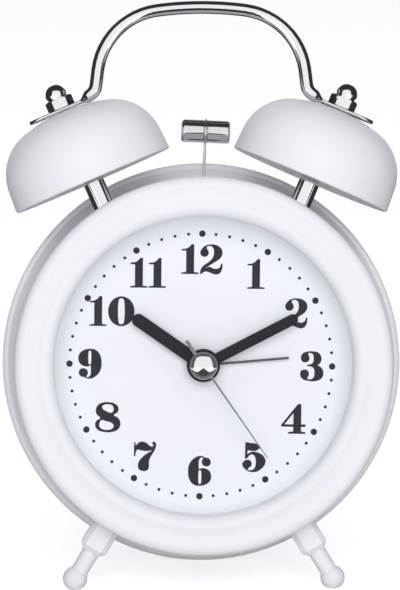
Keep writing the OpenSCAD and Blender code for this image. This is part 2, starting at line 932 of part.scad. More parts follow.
// Foot: square collar with chamfered edges, neck, ball and thread, cut flat where it stands
module foot(side) {
    corner_w = sqrt(2) * (collar_w - collar_chamfer);
    neck_taper = 0.4;
    neck_sink = 0.2;
    color(steel_white)
        difference() {
            stand()
                difference() {
                    foot_frame(side) {
                        intersection() {
                            translate([-collar_w / 2, -collar_w / 2, drum_inner])
                                cube([collar_w, collar_w, collar_at - drum_inner]);
                            rotate(45)
                                translate([-corner_w / 2, -corner_w / 2, drum_inner])
                                    cube([corner_w, corner_w, collar_at - drum_inner]);
                        }
                        translate([0, 0, collar_at - neck_sink])
                            cylinder(r1 = neck_r + neck_taper, r2 = neck_r, h = ball_at - collar_at);
                        translate([0, 0, ball_at])
                            sphere(ball_r);
                        translate([0, 0, foot_nut_at - nut_h - thread_end])
                            cylinder(r = thread_r, h = collar_at - foot_nut_at + nut_h);
                    }
                    difference() {
                        depth_rod(drum_r, foot_y - collar_w, foot_y + collar_w);
                        foot_frame(side)
                            cylinder(r = thread_r, h = ball_at);
                    }
                }
            translate([-ball_at, -ball_at, -2 * ball_at])
                cube(2 * ball_at);
        }
}

module left_foot() {
    foot(-1);
}

module right_foot() {
    foot(1);
}

module foot_nuts() {
    color(chrome)
        stand()
            for (side = [-1, 1])
                foot_frame(side)
                    translate([0, 0, foot_nut_at - nut_h])
                        hex(nut_h, thread_r + fit_gap);
}

// Swings a child with the hammer to where it rests
module hammer_frame() {
    translate([0, bell_y, pivot_z])
        rotate([0, rest_turn, 0])
            children();
}

// Turned striker with a groove for the wire and chamfered ends
module hammer_head() {
    groove = wire_r * 1.2;
    chamfer = 0.6;
    color(chrome)
        stand()
            hammer_frame()
                translate([0, 0, head_z - pivot_z])
                    rotate([0, 90, 0])
                        rotate_extrude()
                            difference() {
                                polygon([
                                    [0, -head_len / 2],
                                    [head_r - chamfer, -head_len / 2],
                                    [head_r, -head_len / 2 + chamfer],
                                    [head_r, head_len / 2 - chamfer],
                                    [head_r - chamfer, head_len / 2],
                                    [0, head_len / 2]]);
                                translate([head_r - wire_r, -groove])
                                    square([2 * wire_r, 2 * groove]);
                            }
}

// Wire with an eye that lies in the head's groove
module hammer_rod() {
    color(chrome)
        stand()
            hammer_frame() {
                translate([0, 0, hub_r])
                    cylinder(r = wire_r, h = head_z - pivot_z - head_r - hub_r);
                translate([0, 0, head_z - pivot_z])
                    rotate([0, 90, 0])
                        rotate_extrude()
                            translate([head_r + fit_gap, 0])
                                circle(wire_r);
            }
}

// Moulded lever: hub on the pin, socket for the wire and an arm for the armature
module hammer_lever() {
    color([0.2, 0.2, 0.22])
        stand()
            hammer_frame()
                difference() {
                    union() {
                        depth_rod(hub_r, -lever_half, lever_half);
                        cylinder(r = 3 * wire_r, h = hub_r + socket_len);
                        slab(-lever_half * arm_share, lever_half * arm_share)
                            polygon([
                                [-hub_r, 0], [hub_r, 0], [arm_end, -lever_len], [-arm_end, -lever_len]]);
                    }
                    depth_rod(pin_r + run_gap, -lever_half - past, lever_half + past);
                    translate([0, 0, hub_r])
                        cylinder(r = wire_r + fit_gap / 2, h = socket_len + past);
                }
}

// Soft iron block on the lever, facing the core
module armature() {
    color([0.5, 0.5, 0.52])
        stand()
            hammer_frame()
                difference() {
                    translate([0, 0, -armature_at - armature_size[2] / 2])
                        translate(-armature_size / 2)
                            cube(armature_size);
                    slab(-lever_half * arm_share - fit_gap, lever_half * arm_share + fit_gap)
                        translate([-armature_slot / 2, -2 * lever_len])
                            square([armature_slot, 2 * lever_len]);
                }
}

module hammer_pin() {
    color(chrome)
        stand()
            depth_rod(pin_r, bell_y - lever_half - pin_end, bracket_y + bracket_t, [0, pivot_z]);
}

// Folded steel bracket that carries the pin and the coil, on top of the movement
module striker_bracket() {
    color([0.62, 0.63, 0.65])
        stand()
            difference() {
                union() {
                    slab(bracket_y, bracket_y + bracket_t) {
                        round_rect([bracket_x[0], case_top], [bracket_x[1], case_top + bracket_h],
                            case_corner);
                        round_rect([-bracket_ear, case_top], [bracket_ear, pivot_z + bracket_ear_top],
                            case_corner);
                    }
                    translate([bracket_x[0], case_y + case_wall, case_top])
                        cube([bracket_x[1] - bracket_x[0],
                            bracket_y - case_y - case_wall + bracket_t, bracket_t]);
                }
                depth_rod(pin_r + fit_gap / 2, bracket_y - past, bracket_y + 2 * past, [0, pivot_z]);
                bracket_holes(screw_r + fit_gap);
            }
}

module bracket_holes(r) {
    for (x = bracket_screw_x)
        translate([x, bracket_screw_y, case_top - bracket_bite - end_play])
            cylinder(r = r, h = bracket_bite + end_play + bracket_t + past);
}

module bracket_screws() {
    color(chrome)
        stand()
            for (x = bracket_screw_x)
                translate([x, bracket_screw_y, 0]) {
                    translate([0, 0, case_top - bracket_bite])
                        cylinder(r = screw_r, h = bracket_bite + bracket_t);
                    translate([0, 0, case_top + bracket_t])
                        cylinder(r1 = screw_head_r, r2 = 0.85 * screw_head_r, h = screw_head_h);
                }
}

// Bobbin and winding of the striker
module striker_coil() {
    flange = 1.0;
    color([0.72, 0.4, 0.2])
        stand()
            translate([coil_x[0], bell_y, coil_z])
                rotate([0, 90, 0])
                    rotate_extrude()
                        difference() {
                            union() {
                                square([coil_r - winding_step, coil_x[1] - coil_x[0]]);
                                square([coil_r, flange]);
                                translate([0, coil_x[1] - coil_x[0] - flange])
                                    square([coil_r, flange]);
                            }
                            translate([0, -past])
                                square([core_r + fit_gap, coil_x[1] - coil_x[0] + 2 * past]);
                        }
}

// Iron core with the yoke that joins it to the bracket
module striker_core() {
    color([0.5, 0.5, 0.52])
        stand() {
            translate([core_face, bell_y, coil_z])
                rotate([0, 90, 0])
                    cylinder(r = core_r, h = coil_x[1] - core_face);
            translate([coil_x[1], bell_y - core_r - yoke_front, coil_z - yoke_h / 2])
                cube([yoke_t, bracket_y - bell_y + core_r + yoke_front, yoke_h]);
        }
}

// Knob and switch openings, lug screws and battery window of the rear cover
module rear_cover() {
    color(plastic_white)
        stand()
            difference() {
                union() {
                    depth_rod(cover_r, cover_y, cover_rear);
                    for (at = boss_at)
                        depth_rod(boss_r, case_rear, cover_y + past, at);
                    slab(battery_y - tray_depth, cover_y + past)
                        translate([-tray_half, battery_z - battery_r - tray_gap - tray_wall])
                            square([2 * tray_half, 2 * (battery_r + tray_gap + tray_wall)]);
                }
                slab(battery_y - tray_depth - past, cover_y)
                    translate([-door_half, battery_z - battery_r - tray_gap])
                        square([2 * door_half, 2 * (battery_r + tray_gap)]);
                slab(cover_y - past, cover_rear + past)
                    translate([-door_half + door_lip, battery_z - door_h / 2 + door_lip])
                        square([2 * (door_half - door_lip), door_h - 2 * door_lip]);
                slab(cover_rear - door_t, cover_rear + past)
                    round_rect([-door_half, battery_z - door_h / 2],
                        [door_half, battery_z + door_h / 2], door_corner);
                for (at = [time_at, alarm_at])
                    depth_rod(stem_r + run_gap, cover_y - past, cover_rear + past, at);
                for (at = boss_at)
                    depth_rod(screw_r, case_rear - past, cover_y, at);
                for (a = lug_angles)
                    rotate([0, -a, 0]) {
                        depth_rod(lug_screw_r + fit_gap, cover_y - past, cover_rear + past,
                            [lug_screw_at, 0]);
                        depth_rod(screw_head_r + end_play, cover_rear - screw_head_h, cover_rear + past,
                            [lug_screw_at, 0]);
                    }
                slab(cover_y - past, cover_rear + past)
                    translate([switch_x + switch_travel / 2, switch_z])
                        square(switch_neck + [switch_travel + 2 * end_play, end_play], center = true);
            }
}

// A screw with a cross-slotted head towards the back
module screw(r, len) {
    depth_rod(r, -len, 0);
    difference() {
        depth_rod(screw_head_r, 0, screw_head_h);
        for (a = [0, 90])
            rotate([0, a, 0])
                translate([-screw_head_r, screw_head_h - cross_depth, -cross_w / 2])
                    cube([2 * screw_head_r, past, cross_w]);
    }
}

module cover_screws() {
    color(chrome)
        stand()
            for (a = lug_angles)
                rotate([0, -a, 0])
                    translate([lug_screw_at, cover_rear - screw_head_h, 0])
                        screw(lug_screw_r, cover_t - screw_head_h + lug_t + lug_screw_past);
}

module movement_screws() {
    color(chrome)
        stand()
            for (at = boss_at)
                translate([at[0], case_y + screw_head_h, at[1]])
                    rotate([180, 0, 0])
                        screw(screw_r - fit_gap, case_depth - screw_head_h + screw_bite);
}

// Lid over the battery, flush with the cover, with ridges for the thumb
module battery_door() {
    color(plastic_white)
        stand() {
            slab(cover_rear - door_t + door_seat, cover_rear)
                round_rect([-door_half + door_gap, battery_z - door_h / 2 + door_gap],
                    [door_half - door_gap, battery_z + door_h / 2 - door_gap], door_corner - door_gap);
            for (i = [0 : 4])
                slab(cover_rear, cover_rear + ridge_h)
                    translate([door_half - ridge_start + ridge_pitch * i, battery_z - ridge_len / 2])
                        square([ridge_w, ridge_len]);
        }
}

module battery() {
    nub_r = 2.6;
    nub_h = 1.3;
    color([0.25, 0.3, 0.42])
        stand()
            translate([-battery_len / 2, battery_y, battery_z])
                rotate([0, 90, 0]) {
                    cylinder(r = battery_r, h = battery_len - nub_h);
                    cylinder(r = nub_r, h = battery_len);
                }
}

// Sprung strips at the battery's two ends
module battery_contacts() {
    reach = 5;
    outer = (contact_room - contact_t) / 2;
    color(chrome)
        stand()
            for (side = [-1, 1])
                translate([side * (battery_len / 2 + contact_room / 2), battery_y, battery_z]) {
                    translate([-contact_room / 2, -reach, -reach])
                        cube([contact_room, 2 * reach, contact_t]);
                    translate([side * outer - contact_t / 2, -reach, -reach])
                        cube([contact_t, 2 * reach, 2 * reach]);
                    translate([-side * outer - contact_t / 2, -reach, -reach])
                        cube([contact_t, 2 * reach, 1.5 * reach]);
                }
}

// Slide with a thumb ridge outside and a shoe inside
module alarm_switch() {
    color([0.3, 0.3, 0.32])
        stand() {
            slab(cover_rear + thumb_gap, cover_rear + thumb_gap + thumb_t)
                translate([switch_x, switch_z])
                    round_rect([-switch_w, -switch_h] / 2, [switch_w, switch_h] / 2, 0.2 * switch_h);
            slab(cover_y - shoe_gap, cover_rear + thumb_gap)
                translate([switch_x, switch_z])
                    square(switch_neck, center = true);
            slab(cover_y - shoe_gap - shoe_t, cover_y - shoe_gap)
                translate([switch_x, switch_z])
                    square(switch_shoe, center = true);
        }
}

// Fluted setting knob
module knob(at) {
    edge = 0.7;
    flute_r = 0.5;
    flute_start = 1.2;
    flute_out = 0.2;
    color([0.3, 0.3, 0.32])
        stand()
            translate([at[0], knob_y, at[1]])
                difference() {
                    turned()
                        polygon([[stem_r + fit_gap / 2, 0], [knob_r, 0], [knob_r, knob_h - edge],
                            [knob_r - edge, knob_h], [stem_r + fit_gap / 2, knob_h]]);
                    for (i = [0 : flutes - 1])
                        rotate([0, 360 * i / flutes, 0])
                            depth_rod(flute_r, flute_start, knob_h + past, [knob_r + flute_out, 0]);
                }
}

module time_knob() {
    knob(time_at);
}

module alarm_knob() {
    knob(alarm_at);
}

// Setting shafts, from the movement's front plate through the rear cover to the knobs
module time_set_shaft() {
    color(brass)
        stand() {
            wheel(time_at, 2, time_teeth, motion_module, time_turn, 0);
            depth_rod(arbor_r, case_y + end_play, layer(2), time_at);
            depth_rod(stem_r, layer(2) + wheel_t, knob_y + knob_h - knob_end, time_at);
        }
}

module alarm_set_shaft() {
    color(brass)
        stand() {
            wheel(alarm_at, 0, alarm_teeth[1], alarm_module, alarm_turn, 0);
            depth_rod(arbor_r, case_y + end_play, layer(0), alarm_at);
            depth_rod(stem_r, layer(0) + wheel_t, knob_y + knob_h - knob_end, alarm_at);
        }
}

// Seats of the arbors in the movement's plates
module arbor_holes(y0, y1) {
    for (at = [third_at, step_at, rotor_at, motion_at])
        depth_rod(arbor_r + run_gap, y0, y1, at);
}

module movement_front() {
    post = 1.4;
    post_in = 1.6;
    post_end = 0.1;
    post_x = [board_inset + post_end + end_play - case_half, -board_end - post - post_end];
    color([0.86, 0.86, 0.84])
        stand()
            difference() {
                union() {
                    difference() {
                        slab(case_y, case_back)
                            round_rect([-case_half, case_bottom], [case_half, case_top], case_corner);
                        slab(case_y + case_wall, case_back + past)
                            round_rect([-case_half + case_wall, case_bottom + case_wall],
                                [case_half - case_wall, case_top - case_wall], case_corner - case_wall / 2);
                    }
                    for (at = boss_at)
                        depth_rod(boss_r, case_y, case_back, at);
                    for (x = post_x)
                        depth_rod(post, case_y, board_y, [x, board_top - post_in]);
                    translate([block_x, case_y, case_top - block[2]])
                        cube(block);
                }
                depth_rod(alarm_r + run_gap, case_y - past, case_y + case_wall + past);
                arbor_holes(case_y - past, case_y + case_wall + past);
                for (at = [time_at, alarm_at])
                    depth_rod(arbor_r + run_gap, case_y - past, case_y + case_wall + past, at);
                for (at = boss_at) {
                    depth_rod(screw_r + fit_gap, case_y - past, case_rear, at);
                    depth_rod(screw_head_r + fit_gap, case_y - past, case_y + screw_head_h, at);
                }
                bracket_holes(screw_r);
            }
}

module movement_rear() {
    color([0.86, 0.86, 0.84])
        stand()
            difference() {
                slab(case_back, case_rear)
                    round_rect([-case_half, case_bottom], [case_half, case_top], case_corner);
                depth_rod(second_r + run_gap, case_back - past, case_rear + past);
                arbor_holes(case_back - past, case_rear + past);
                for (at = [time_at, alarm_at])
                    depth_rod(stem_r + run_gap, case_back - past, case_rear + past, at);
                for (at = boss_at)
                    depth_rod(screw_r + fit_gap, case_back - past, case_rear + past, at);
            }
}

module circuit_board() {
    color([0.2, 0.42, 0.28])
        stand()
            slab(board_y, board_y + board_t)
                translate([-case_half + board_inset, board_top - board_h])
                    square([case_half - board_inset - board_end, board_h]);
}

module quartz_crystal() {
    can_r = 1.0;
    can_len = 6;
    can_in = 1.8;
    can_drop = 5;
    color(chrome)
        stand()
            translate([board_inset + can_in - case_half, board_y + board_t + can_r, board_top - can_drop])
                rotate([0, 90, 0])
                    cylinder(r = can_r, h = can_len);
}

// Iron plate round the rotor, with the leg that passes through the coil
module stator() {
    color([0.55, 0.56, 0.58])
        stand()
            slab(stator_y, stator_y + stator_t)
                difference() {
                    union() {
                        translate(rotor_at)
                            circle(magnet_r + stator_rim);
                        translate([rotor_at[0], rotor_at[1] - stator_arm / 2])
                            square([coil_at[0] - rotor_at[0] + stator_leg / 2, stator_arm]);
                        translate([coil_at[0] - stator_leg / 2, rotor_at[1] - stator_arm / 2])
                            square([stator_leg,
                                coil_at[1] - rotor_at[1] + drive_coil_len / 2 + stator_leg]);
                    }
                    translate(rotor_at)
                        circle(magnet_r + air_gap);
                    for (at = boss_at)
                        translate(at)
                            circle(boss_r + fit_gap);
                }
}

module drive_coil() {
    flange = 0.8;
    step = 0.5;
    color([0.72, 0.4, 0.2])
        stand()
            translate([coil_at[0], stator_y + stator_t / 2, coil_at[1] - drive_coil_len / 2])
                difference() {
                    union() {
                        cylinder(r = drive_coil_r - step, h = drive_coil_len);
                        for (z = [0, drive_coil_len - flange])
                            translate([0, 0, z])
                                cylinder(r = drive_coil_r, h = flange);
                    }
                    translate([-stator_leg / 2 - fit_gap, -stator_t / 2 - fit_gap, -past])
                        cube([stator_leg + 2 * fit_gap, stator_t + 2 * fit_gap, drive_coil_len + 2 * past]);
                }
}

// Magnet and pinion of the step motor
module rotor() {
    color([0.35, 0.35, 0.38])
        stand() {
            arbor(rotor_at);
            depth_rod(magnet_r, stator_y - magnet_lip, stator_y + stator_t + magnet_lip, rotor_at);
            wheel(rotor_at, 6, step_teeth[1], step_module,
                mesh_turn(0, step_teeth[0], step_teeth[1], rotor_angle), 0);
        }
}

module step_wheel() {
    color(plastic_white)
        stand() {
            arbor(step_at);
            wheel(step_at, 4, second_teeth[1], second_module,
                mesh_turn(0, second_teeth[0], second_teeth[1], step_angle), 0);
            wheel(step_at, 6, step_teeth[0], step_module, 0, 0);
        }
}

// Second hand's arbor with its wheel and pinion
module second_wheel() {
    color(brass)
        stand() {
            depth_rod(second_r, second_hand_y, case_rear - end_play);
            wheel([0, 0], 4, second_teeth[0], second_module, 0, 0);
            wheel([0, 0], 5, third_teeth[0], third_module, 0, 0);
        }
}

module third_wheel() {
    color(plastic_white)
        stand() {
            arbor(third_at);
            wheel(third_at, 5, third_teeth[1], third_module,
                mesh_turn(0, third_teeth[0], third_teeth[1], third_angle), 0);
            wheel(third_at, 3, centre_teeth[1], centre_module,
                mesh_turn(0, centre_teeth[0], centre_teeth[1], third_angle), 0);
        }
}

// Wheel that drives the minute pipe through a slipping fit
module centre_wheel() {
    color(brass)
        stand()
            wheel([0, 0], 3, centre_teeth[0], centre_module, 0, minute_r + run_gap);
}

module minute_pipe() {
    color(brass)
        stand()
            difference() {
                union() {
                    depth_rod(minute_r, minute_hand_y, layer(3) + wheel_t + end_play);
                    wheel([0, 0], 2, cannon_teeth[0], motion_module, 0, 0);
                }
                depth_rod(minute_bore, minute_hand_y - past, layer(3) + wheel_t + past);
            }
}

module intermediate_wheel() {
    color(plastic_white)
        stand() {
            arbor(motion_at);
            wheel(motion_at, 2, cannon_teeth[1], motion_module, motion_turn, 0);
            wheel(motion_at, 1, hour_teeth[1], hour_module,
                mesh_turn(0, hour_teeth[0], hour_teeth[1], motion_angle), 0);
        }
}

module hour_wheel() {
    color(brass)
        stand()
            difference() {
                union() {
                    depth_rod(hour_r, hour_hand_y, layer(1) + wheel_t);
                    wheel([0, 0], 1, hour_teeth[0], hour_module, 0, 0);
                }
                depth_rod(hour_bore, hour_hand_y - past, layer(1) + wheel_t + past);
            }
}

module alarm_wheel() {
    color(brass)
        stand()
            difference() {
                union() {
                    depth_rod(alarm_r, alarm_hand_y, layer(0) + wheel_t);
                    wheel([0, 0], 0, alarm_teeth[0], alarm_module, 0, 0);
                }
                depth_rod(alarm_bore, alarm_hand_y - past, layer(0) + wheel_t + past);
            }
}

drum_case();
front_bezel();
lens();
dial_ring();
dial();
hour_hand();
minute_hand();
second_hand();
alarm_hand();
hand_cap();
left_bell();
right_bell();
left_bell_post();
right_bell_post();
acorn_nuts();
post_nuts();
carry_handle();
left_foot();
right_foot();
foot_nuts();
hammer_head();
hammer_rod();
hammer_lever();
armature();
hammer_pin();
striker_bracket();
bracket_screws();
striker_coil();
striker_core();
rear_cover();
cover_screws();
movement_screws();
battery_door();
battery();
battery_contacts();
alarm_switch();
time_knob();
alarm_knob();
time_set_shaft();
alarm_set_shaft();
movement_front();
movement_rear();
circuit_board();
quartz_crystal();
stator();
drive_coil();
rotor();
step_wheel();
second_wheel();
third_wheel();
centre_wheel();
minute_pipe();
intermediate_wheel();
hour_wheel();
alarm_wheel();
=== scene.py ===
import json
import math

import bpy
from bpy.props import FloatProperty, FloatVectorProperty, PointerProperty
from bpy.types import Operator, Panel, PropertyGroup
from mathutils import Matrix, Vector


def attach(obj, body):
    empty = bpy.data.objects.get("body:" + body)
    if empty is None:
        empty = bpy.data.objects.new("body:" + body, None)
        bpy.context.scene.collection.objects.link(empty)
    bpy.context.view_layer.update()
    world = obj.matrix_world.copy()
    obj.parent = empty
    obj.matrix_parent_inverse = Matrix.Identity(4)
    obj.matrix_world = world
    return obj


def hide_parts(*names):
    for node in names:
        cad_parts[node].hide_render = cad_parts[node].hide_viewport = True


bl_info = {
    "name": "Twin Bell Alarm Clock",
    "version": (1, 0, 0),
    "blender": (4, 5, 0),
    "location": "3D View > Sidebar > Clock",
    "description": "Models the shells, hands and dial print of a twin bell alarm clock round its frame",
    "category": "Add Mesh",
}

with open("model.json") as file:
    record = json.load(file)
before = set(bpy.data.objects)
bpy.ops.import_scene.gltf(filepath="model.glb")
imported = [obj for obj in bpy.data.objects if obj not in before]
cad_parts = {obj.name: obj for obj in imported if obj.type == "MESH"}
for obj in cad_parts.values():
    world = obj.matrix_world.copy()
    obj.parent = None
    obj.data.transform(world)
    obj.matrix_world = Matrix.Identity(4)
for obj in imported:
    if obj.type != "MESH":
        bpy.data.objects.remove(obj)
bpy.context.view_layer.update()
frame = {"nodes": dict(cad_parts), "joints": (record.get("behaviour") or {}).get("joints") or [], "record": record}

MM = 0.001
MICRON = 0.000001
SEAT = 0.2 * MM
HAMMER_SLOT = (8 * MM, 3 * MM, 6 * MM)
BAND_START = 12 * MM
NEAREST_SEEN = 10 * MM
FINE_STEPS = 160
SMALL_STEPS = 64
WIRE_STEPS = 24
NODES = frame["nodes"]
JOINTS = {joint["name"]: joint for joint in frame["joints"]}

# The dial's own axes: x to the right, y from the bezel to the back, z up along the dial
AXIS_POINT = Vector(JOINTS["second_hand_turn"]["pos_m"])
DIAL_BACK = Vector(JOINTS["second_hand_turn"]["axis"]).normalized()
DIAL_UP = Vector((1, 0, 0)).cross(DIAL_BACK)


def depths(node):
    """How far back along the dial's axis a CAD node begins and ends, from AXIS_POINT."""
    along = [(vertex.co - AXIS_POINT).dot(DIAL_BACK) for vertex in NODES[node].data.vertices]
    return min(along), max(along)


BEZEL_FRONT = depths("front_bezel")[0]
DIAL_PLACE = (
    Matrix.Translation(AXIS_POINT + BEZEL_FRONT * DIAL_BACK)
    @ Matrix((Vector((1, 0, 0)), DIAL_BACK, DIAL_UP)).transposed().to_4x4()
)


def depth_of(node):
    """The depths at which a CAD node begins and ends behind the bezel's front."""
    return [depth - BEZEL_FRONT for depth in depths(node)]


def length(label, text, millimetres):
    """A size that the sidebar shows in length units."""
    return FloatProperty(name=label, description=text, default=millimetres * MM, min=0,
                         subtype="DISTANCE", unit="LENGTH", precision=5)


def turn(label, text, degrees):
    """An angle that the sidebar shows in degrees."""
    return FloatProperty(name=label, description=text, default=math.radians(degrees),
                         subtype="ANGLE", unit="ROTATION")


def tint(label, text, red, green, blue):
    """A colour that the sidebar shows as a swatch."""
    return FloatVectorProperty(name=label, description=text, default=(red, green, blue),
                               min=0, max=1, size=3, subtype="COLOR")


class CaseSizes(PropertyGroup):
    """Drum, bezel, glass and feet"""
    window: length("Window radius", "Radius of the bezel's opening", 33.0)
    inner_roll: length("Inner roll", "Radius of the bezel's inner roll", 2.4)
    outer_roll: length("Outer roll", "Radius of the bezel's outer roll", 2.2)
    valley: length("Valley", "Radius of the hollow between the rolls", 5.0)
    bezel: length("Bezel radius", "Outer radius of the bezel", 41.89)
    skirt_wall: length("Skirt wall", "Thickness of the bezel's skirt", 0.85)
    skirt_end: length("Skirt end", "Depth at which the skirt ends", 8.0)
    lens_depth: length("Lens depth", "Depth of the lens behind the bezel's front", 3.2)
    lens_thickness: length("Lens thickness", "Thickness of the lens", 1.4)
    lens_radius: length("Lens radius", "Radius of the lens", 34.2)
    drum: length("Drum radius", "Outer radius of the drum's straight part", 41.0)
    drum_wall: length("Drum wall", "Thickness of the drum's sheet", 0.7)
    drum_front: length("Drum front", "Depth at which the drum begins", 5.0)
    flare_start: length("Flare start", "Depth at which the drum begins to flare", 22.5)
    flare_sweep: length("Flare sweep", "Radius of the flare's curve", 19.5)
    bead_depth: length("Bead depth", "Depth of the rolled rear edge", 34.3)
    bead: length("Bead radius", "Radius of the rolled rear edge", 0.95)
    foot_angle: turn("Foot angle", "Angle of each foot from straight down", 31.2)
    foot_depth: length("Foot depth", "Depth of the feet behind the bezel's front", 11.5)
    ball_distance: length("Ball distance", "Distance of each ball from the dial's axis", 55.5)
    ball: length("Ball radius", "Radius of the foot's ball", 2.7)
    collar: length("Collar width", "Width across the foot's square collar", 6.2)
    chamfer: length("Collar chamfer", "Chamfer on the collar's long edges", 1.2)
    collar_end: length("Collar end", "Distance of the collar's end from the dial's axis", 48.7)
    neck: length("Neck radius", "Radius of the foot's neck at the ball", 1.9)
    neck_root: length("Neck root", "Radius of the neck at the collar", 1.95)
    neck_fillet: length("Neck fillet", "Radius of the hollow between neck and ball", 0.5)


class BellSizes(PropertyGroup):
    """Bells, posts, nuts and hammer"""
    side: length("Bell offset", "Distance of a bell's rim centre from the middle", 24.4)
    height: length("Bell height", "Height of a bell's rim centre above the dial's axis", 41.3)
    depth: length("Bell depth", "Depth of the bells behind the bezel's front", 20.0)
    tilt: turn("Bell tilt", "Outward tilt of the bells", 23.2)
    rim: length("Rim radius", "Radius of the bell's rim", 18.7)
    crown: length("Crown height", "Height of the bell above its rim", 17.0)
    flare: turn("Side flare", "Outward slope of the bell's side", 3.0)
    shoulder: length("Shoulder radius", "Radius of the bell's shoulder", 11.5)
    shoulder_height: length("Shoulder height", "Height of the shoulder's centre above the rim", 4.5)
    wall: length("Bell wall", "Thickness of the bell", 0.9)
    post: length("Post radius", "Radius of a bell post", 2.42)
    nut: length("Nut width", "Width of an acorn nut across its flats", 5.5)
    nut_height: length("Nut height", "Height of the nut's hexagon", 2.3)
    dome_height: length("Dome height", "Height of the nut's dome", 3.4)
    pad: length("Pad thickness", "Thickness of the handle's flattened pads", 0.8)
    pivot: length("Pivot height", "Height of the hammer's pivot above the dial's axis", 33.0)
    head_height: length("Head height", "Height of the hammer's head above the dial's axis", 52.4)
    head_length: length("Head length", "Length of the hammer's head", 11.0)
    head: length("Head radius", "Radius of the hammer's head", 2.6)
    wire: length("Wire radius", "Radius of the hammer's wire", 0.3)
    rest: turn("Hammer rest", "Angle at which the hammer comes to rest", 2.7)


class HandSizes(PropertyGroup):
    """Hands and their cap"""
    hour_length: length("Hour length", "Length of the hour hand from the centre", 19.0)
    hour_width: length("Hour width", "Width of the hour hand", 2.9)
    hour_angle: turn("Hour angle", "Where the hour hand points, clockwise from twelve", 305)
    minute_length: length("Minute length", "Length of the minute hand from the centre", 23.5)
    minute_width: length("Minute width", "Width of the minute hand", 2.4)
    minute_angle: turn("Minute angle", "Where the minute hand points, clockwise from twelve", 63)
    second_length: length("Second length", "Length of the second hand from the centre", 25.0)
    second_tail: length("Second tail", "Length of the second hand's tail", 6.8)
    second_angle: turn("Second angle", "Where the second hand points, clockwise from twelve", 145.5)
    alarm_length: length("Alarm length", "Length of the alarm hand from the centre", 19.2)
    alarm_angle: turn("Alarm angle", "Where the alarm hand points, clockwise from twelve", 85.4)
    needle: length("Needle width", "Width of the second and alarm hands", 0.5)
    point: length("Point width", "Width of the second hand's point", 0.2)
    tail_width: length("Tail width", "Width of the second hand's tail", 0.8)
    thickness: length("Hand thickness", "Thickness of a hand", 0.35)
    cap: length("Cap radius", "Radius of the cap over the hands' centre", 3.1)
    cap_height: length("Cap height", "Height of the cap", 1.5)
    boss: length("Boss radius", "Radius of the minute hand's boss", 3.7)


class PrintSizes(PropertyGroup):
    """Numerals and dots printed on the dial"""
    track: length("Dot track", "Radius of the circle of dots", 29.3)
    hour_dot: length("Hour dot", "Diameter of an hour dot", 1.45)
    minute_dot: length("Minute dot", "Diameter of a minute dot", 0.68)
    numeral: length("Numeral height", "Height of a numeral", 6.65)
    ring: length("Numeral ring height", "Distance of the top and bottom numerals from the centre", 23.6)
    ring_wide: length("Numeral ring width", "Distance of the side numerals from the centre", 24.75)
    bold: length("Boldness", "How far a numeral's outline is let out", 0.07)
    turned: turn("Print turn", "How far the print is turned clockwise", 0.85)
    shift: FloatProperty(name="Print shift", default=-0.5 * MM, subtype="DISTANCE", unit="LENGTH",
                         description="How far the print sits to the right of the dial's centre")
    ink: length("Ink thickness", "How far the print stands off the dial", 0.03)


class Colours(PropertyGroup):
    """Finishes"""
    enamel: tint("Enamel", "White enamel of drum, bezel, bells and feet", 0.86, 0.86, 0.875)
    dial: tint("Dial", "Cool white of the dial", 0.90, 0.91, 0.94)
    ink: tint("Ink", "Numerals and dots", 0.022, 0.023, 0.029)
    hands: tint("Hands", "Hour and minute hands", 0.012, 0.012, 0.015)
    chrome: tint("Chrome", "Handle, posts, nuts and cap", 0.85, 0.855, 0.87)
    steel: tint("Steel", "Turned steel of the hammer", 0.74, 0.74, 0.75)
    iron: tint("Iron", "Core, armature and bracket", 0.36, 0.36, 0.37)
    needle: tint("Needle", "Second hand", 0.24, 0.24, 0.26)
    dark_needle: tint("Dark needle", "Alarm hand", 0.09, 0.09, 0.10)
    plastic: tint("White plastic", "Rear cover and battery door", 0.80, 0.80, 0.80)
    dark_plastic: tint("Dark plastic", "Knobs, switch and lever", 0.045, 0.045, 0.048)
    moulded: tint("Moulded plastic", "Movement case and plastic wheels", 0.70, 0.70, 0.67)
    brass: tint("Brass", "Wheels, pipes and shafts", 0.72, 0.52, 0.22)
    copper: tint("Copper", "Coil windings", 0.62, 0.26, 0.11)
    board: tint("Board", "Circuit board", 0.04, 0.16, 0.08)
    jacket: tint("Jacket", "Battery jacket", 0.03, 0.05, 0.16)


class StageSettings(PropertyGroup):
    """Camera, floor and light"""
    distance: length("Camera distance", "Distance from the camera to the dial", 800)
    azimuth: turn("Camera azimuth", "How far the camera stands to the left of the dial's front", 1.1)
    elevation: turn("Camera elevation", "Height of the camera above the horizon", 11.5)
    frame_height: length("Frame height", "Height of the picture at the dial", 131.3)
    aim_right: FloatProperty(name="Aim right", default=-0.67 * MM, subtype="DISTANCE", unit="LENGTH",
                             description="How far right of the dial's centre the camera aims")
    aim_depth: length("Aim depth", "How far behind the bezel's front the camera aims", 10)
    aim_up: length("Aim up", "How far above the dial's centre the camera aims", 15.64)
    key: FloatProperty(name="Key light", description="Power of the large light", default=11.9, unit="POWER")
    top: FloatProperty(name="Top light", description="Power of the light overhead", default=1.5, unit="POWER")
    fill: FloatProperty(name="Fill light", description="Power of the side light", default=0.2, unit="POWER")
    sky: tint("Sky", "Even light all round", 0.27, 0.29, 0.315)
    card: tint("Cards", "Colour of the dark cards", 0.06, 0.06, 0.065)
    floor_size: length("Floor size", "Width of the floor", 6000)
    floor: tint("Floor", "Colour of the floor", 0.88, 0.88, 0.88)
    floor_glow: FloatProperty(name="Floor glow", description="White that the camera sees on the floor",
                              default=0.6)


GROUPS = {
    "clock_case": CaseSizes,
    "clock_bells": BellSizes,
    "clock_hands": HandSizes,
    "clock_print": PrintSizes,
    "clock_colours": Colours,
    "clock_stage": StageSettings,
}


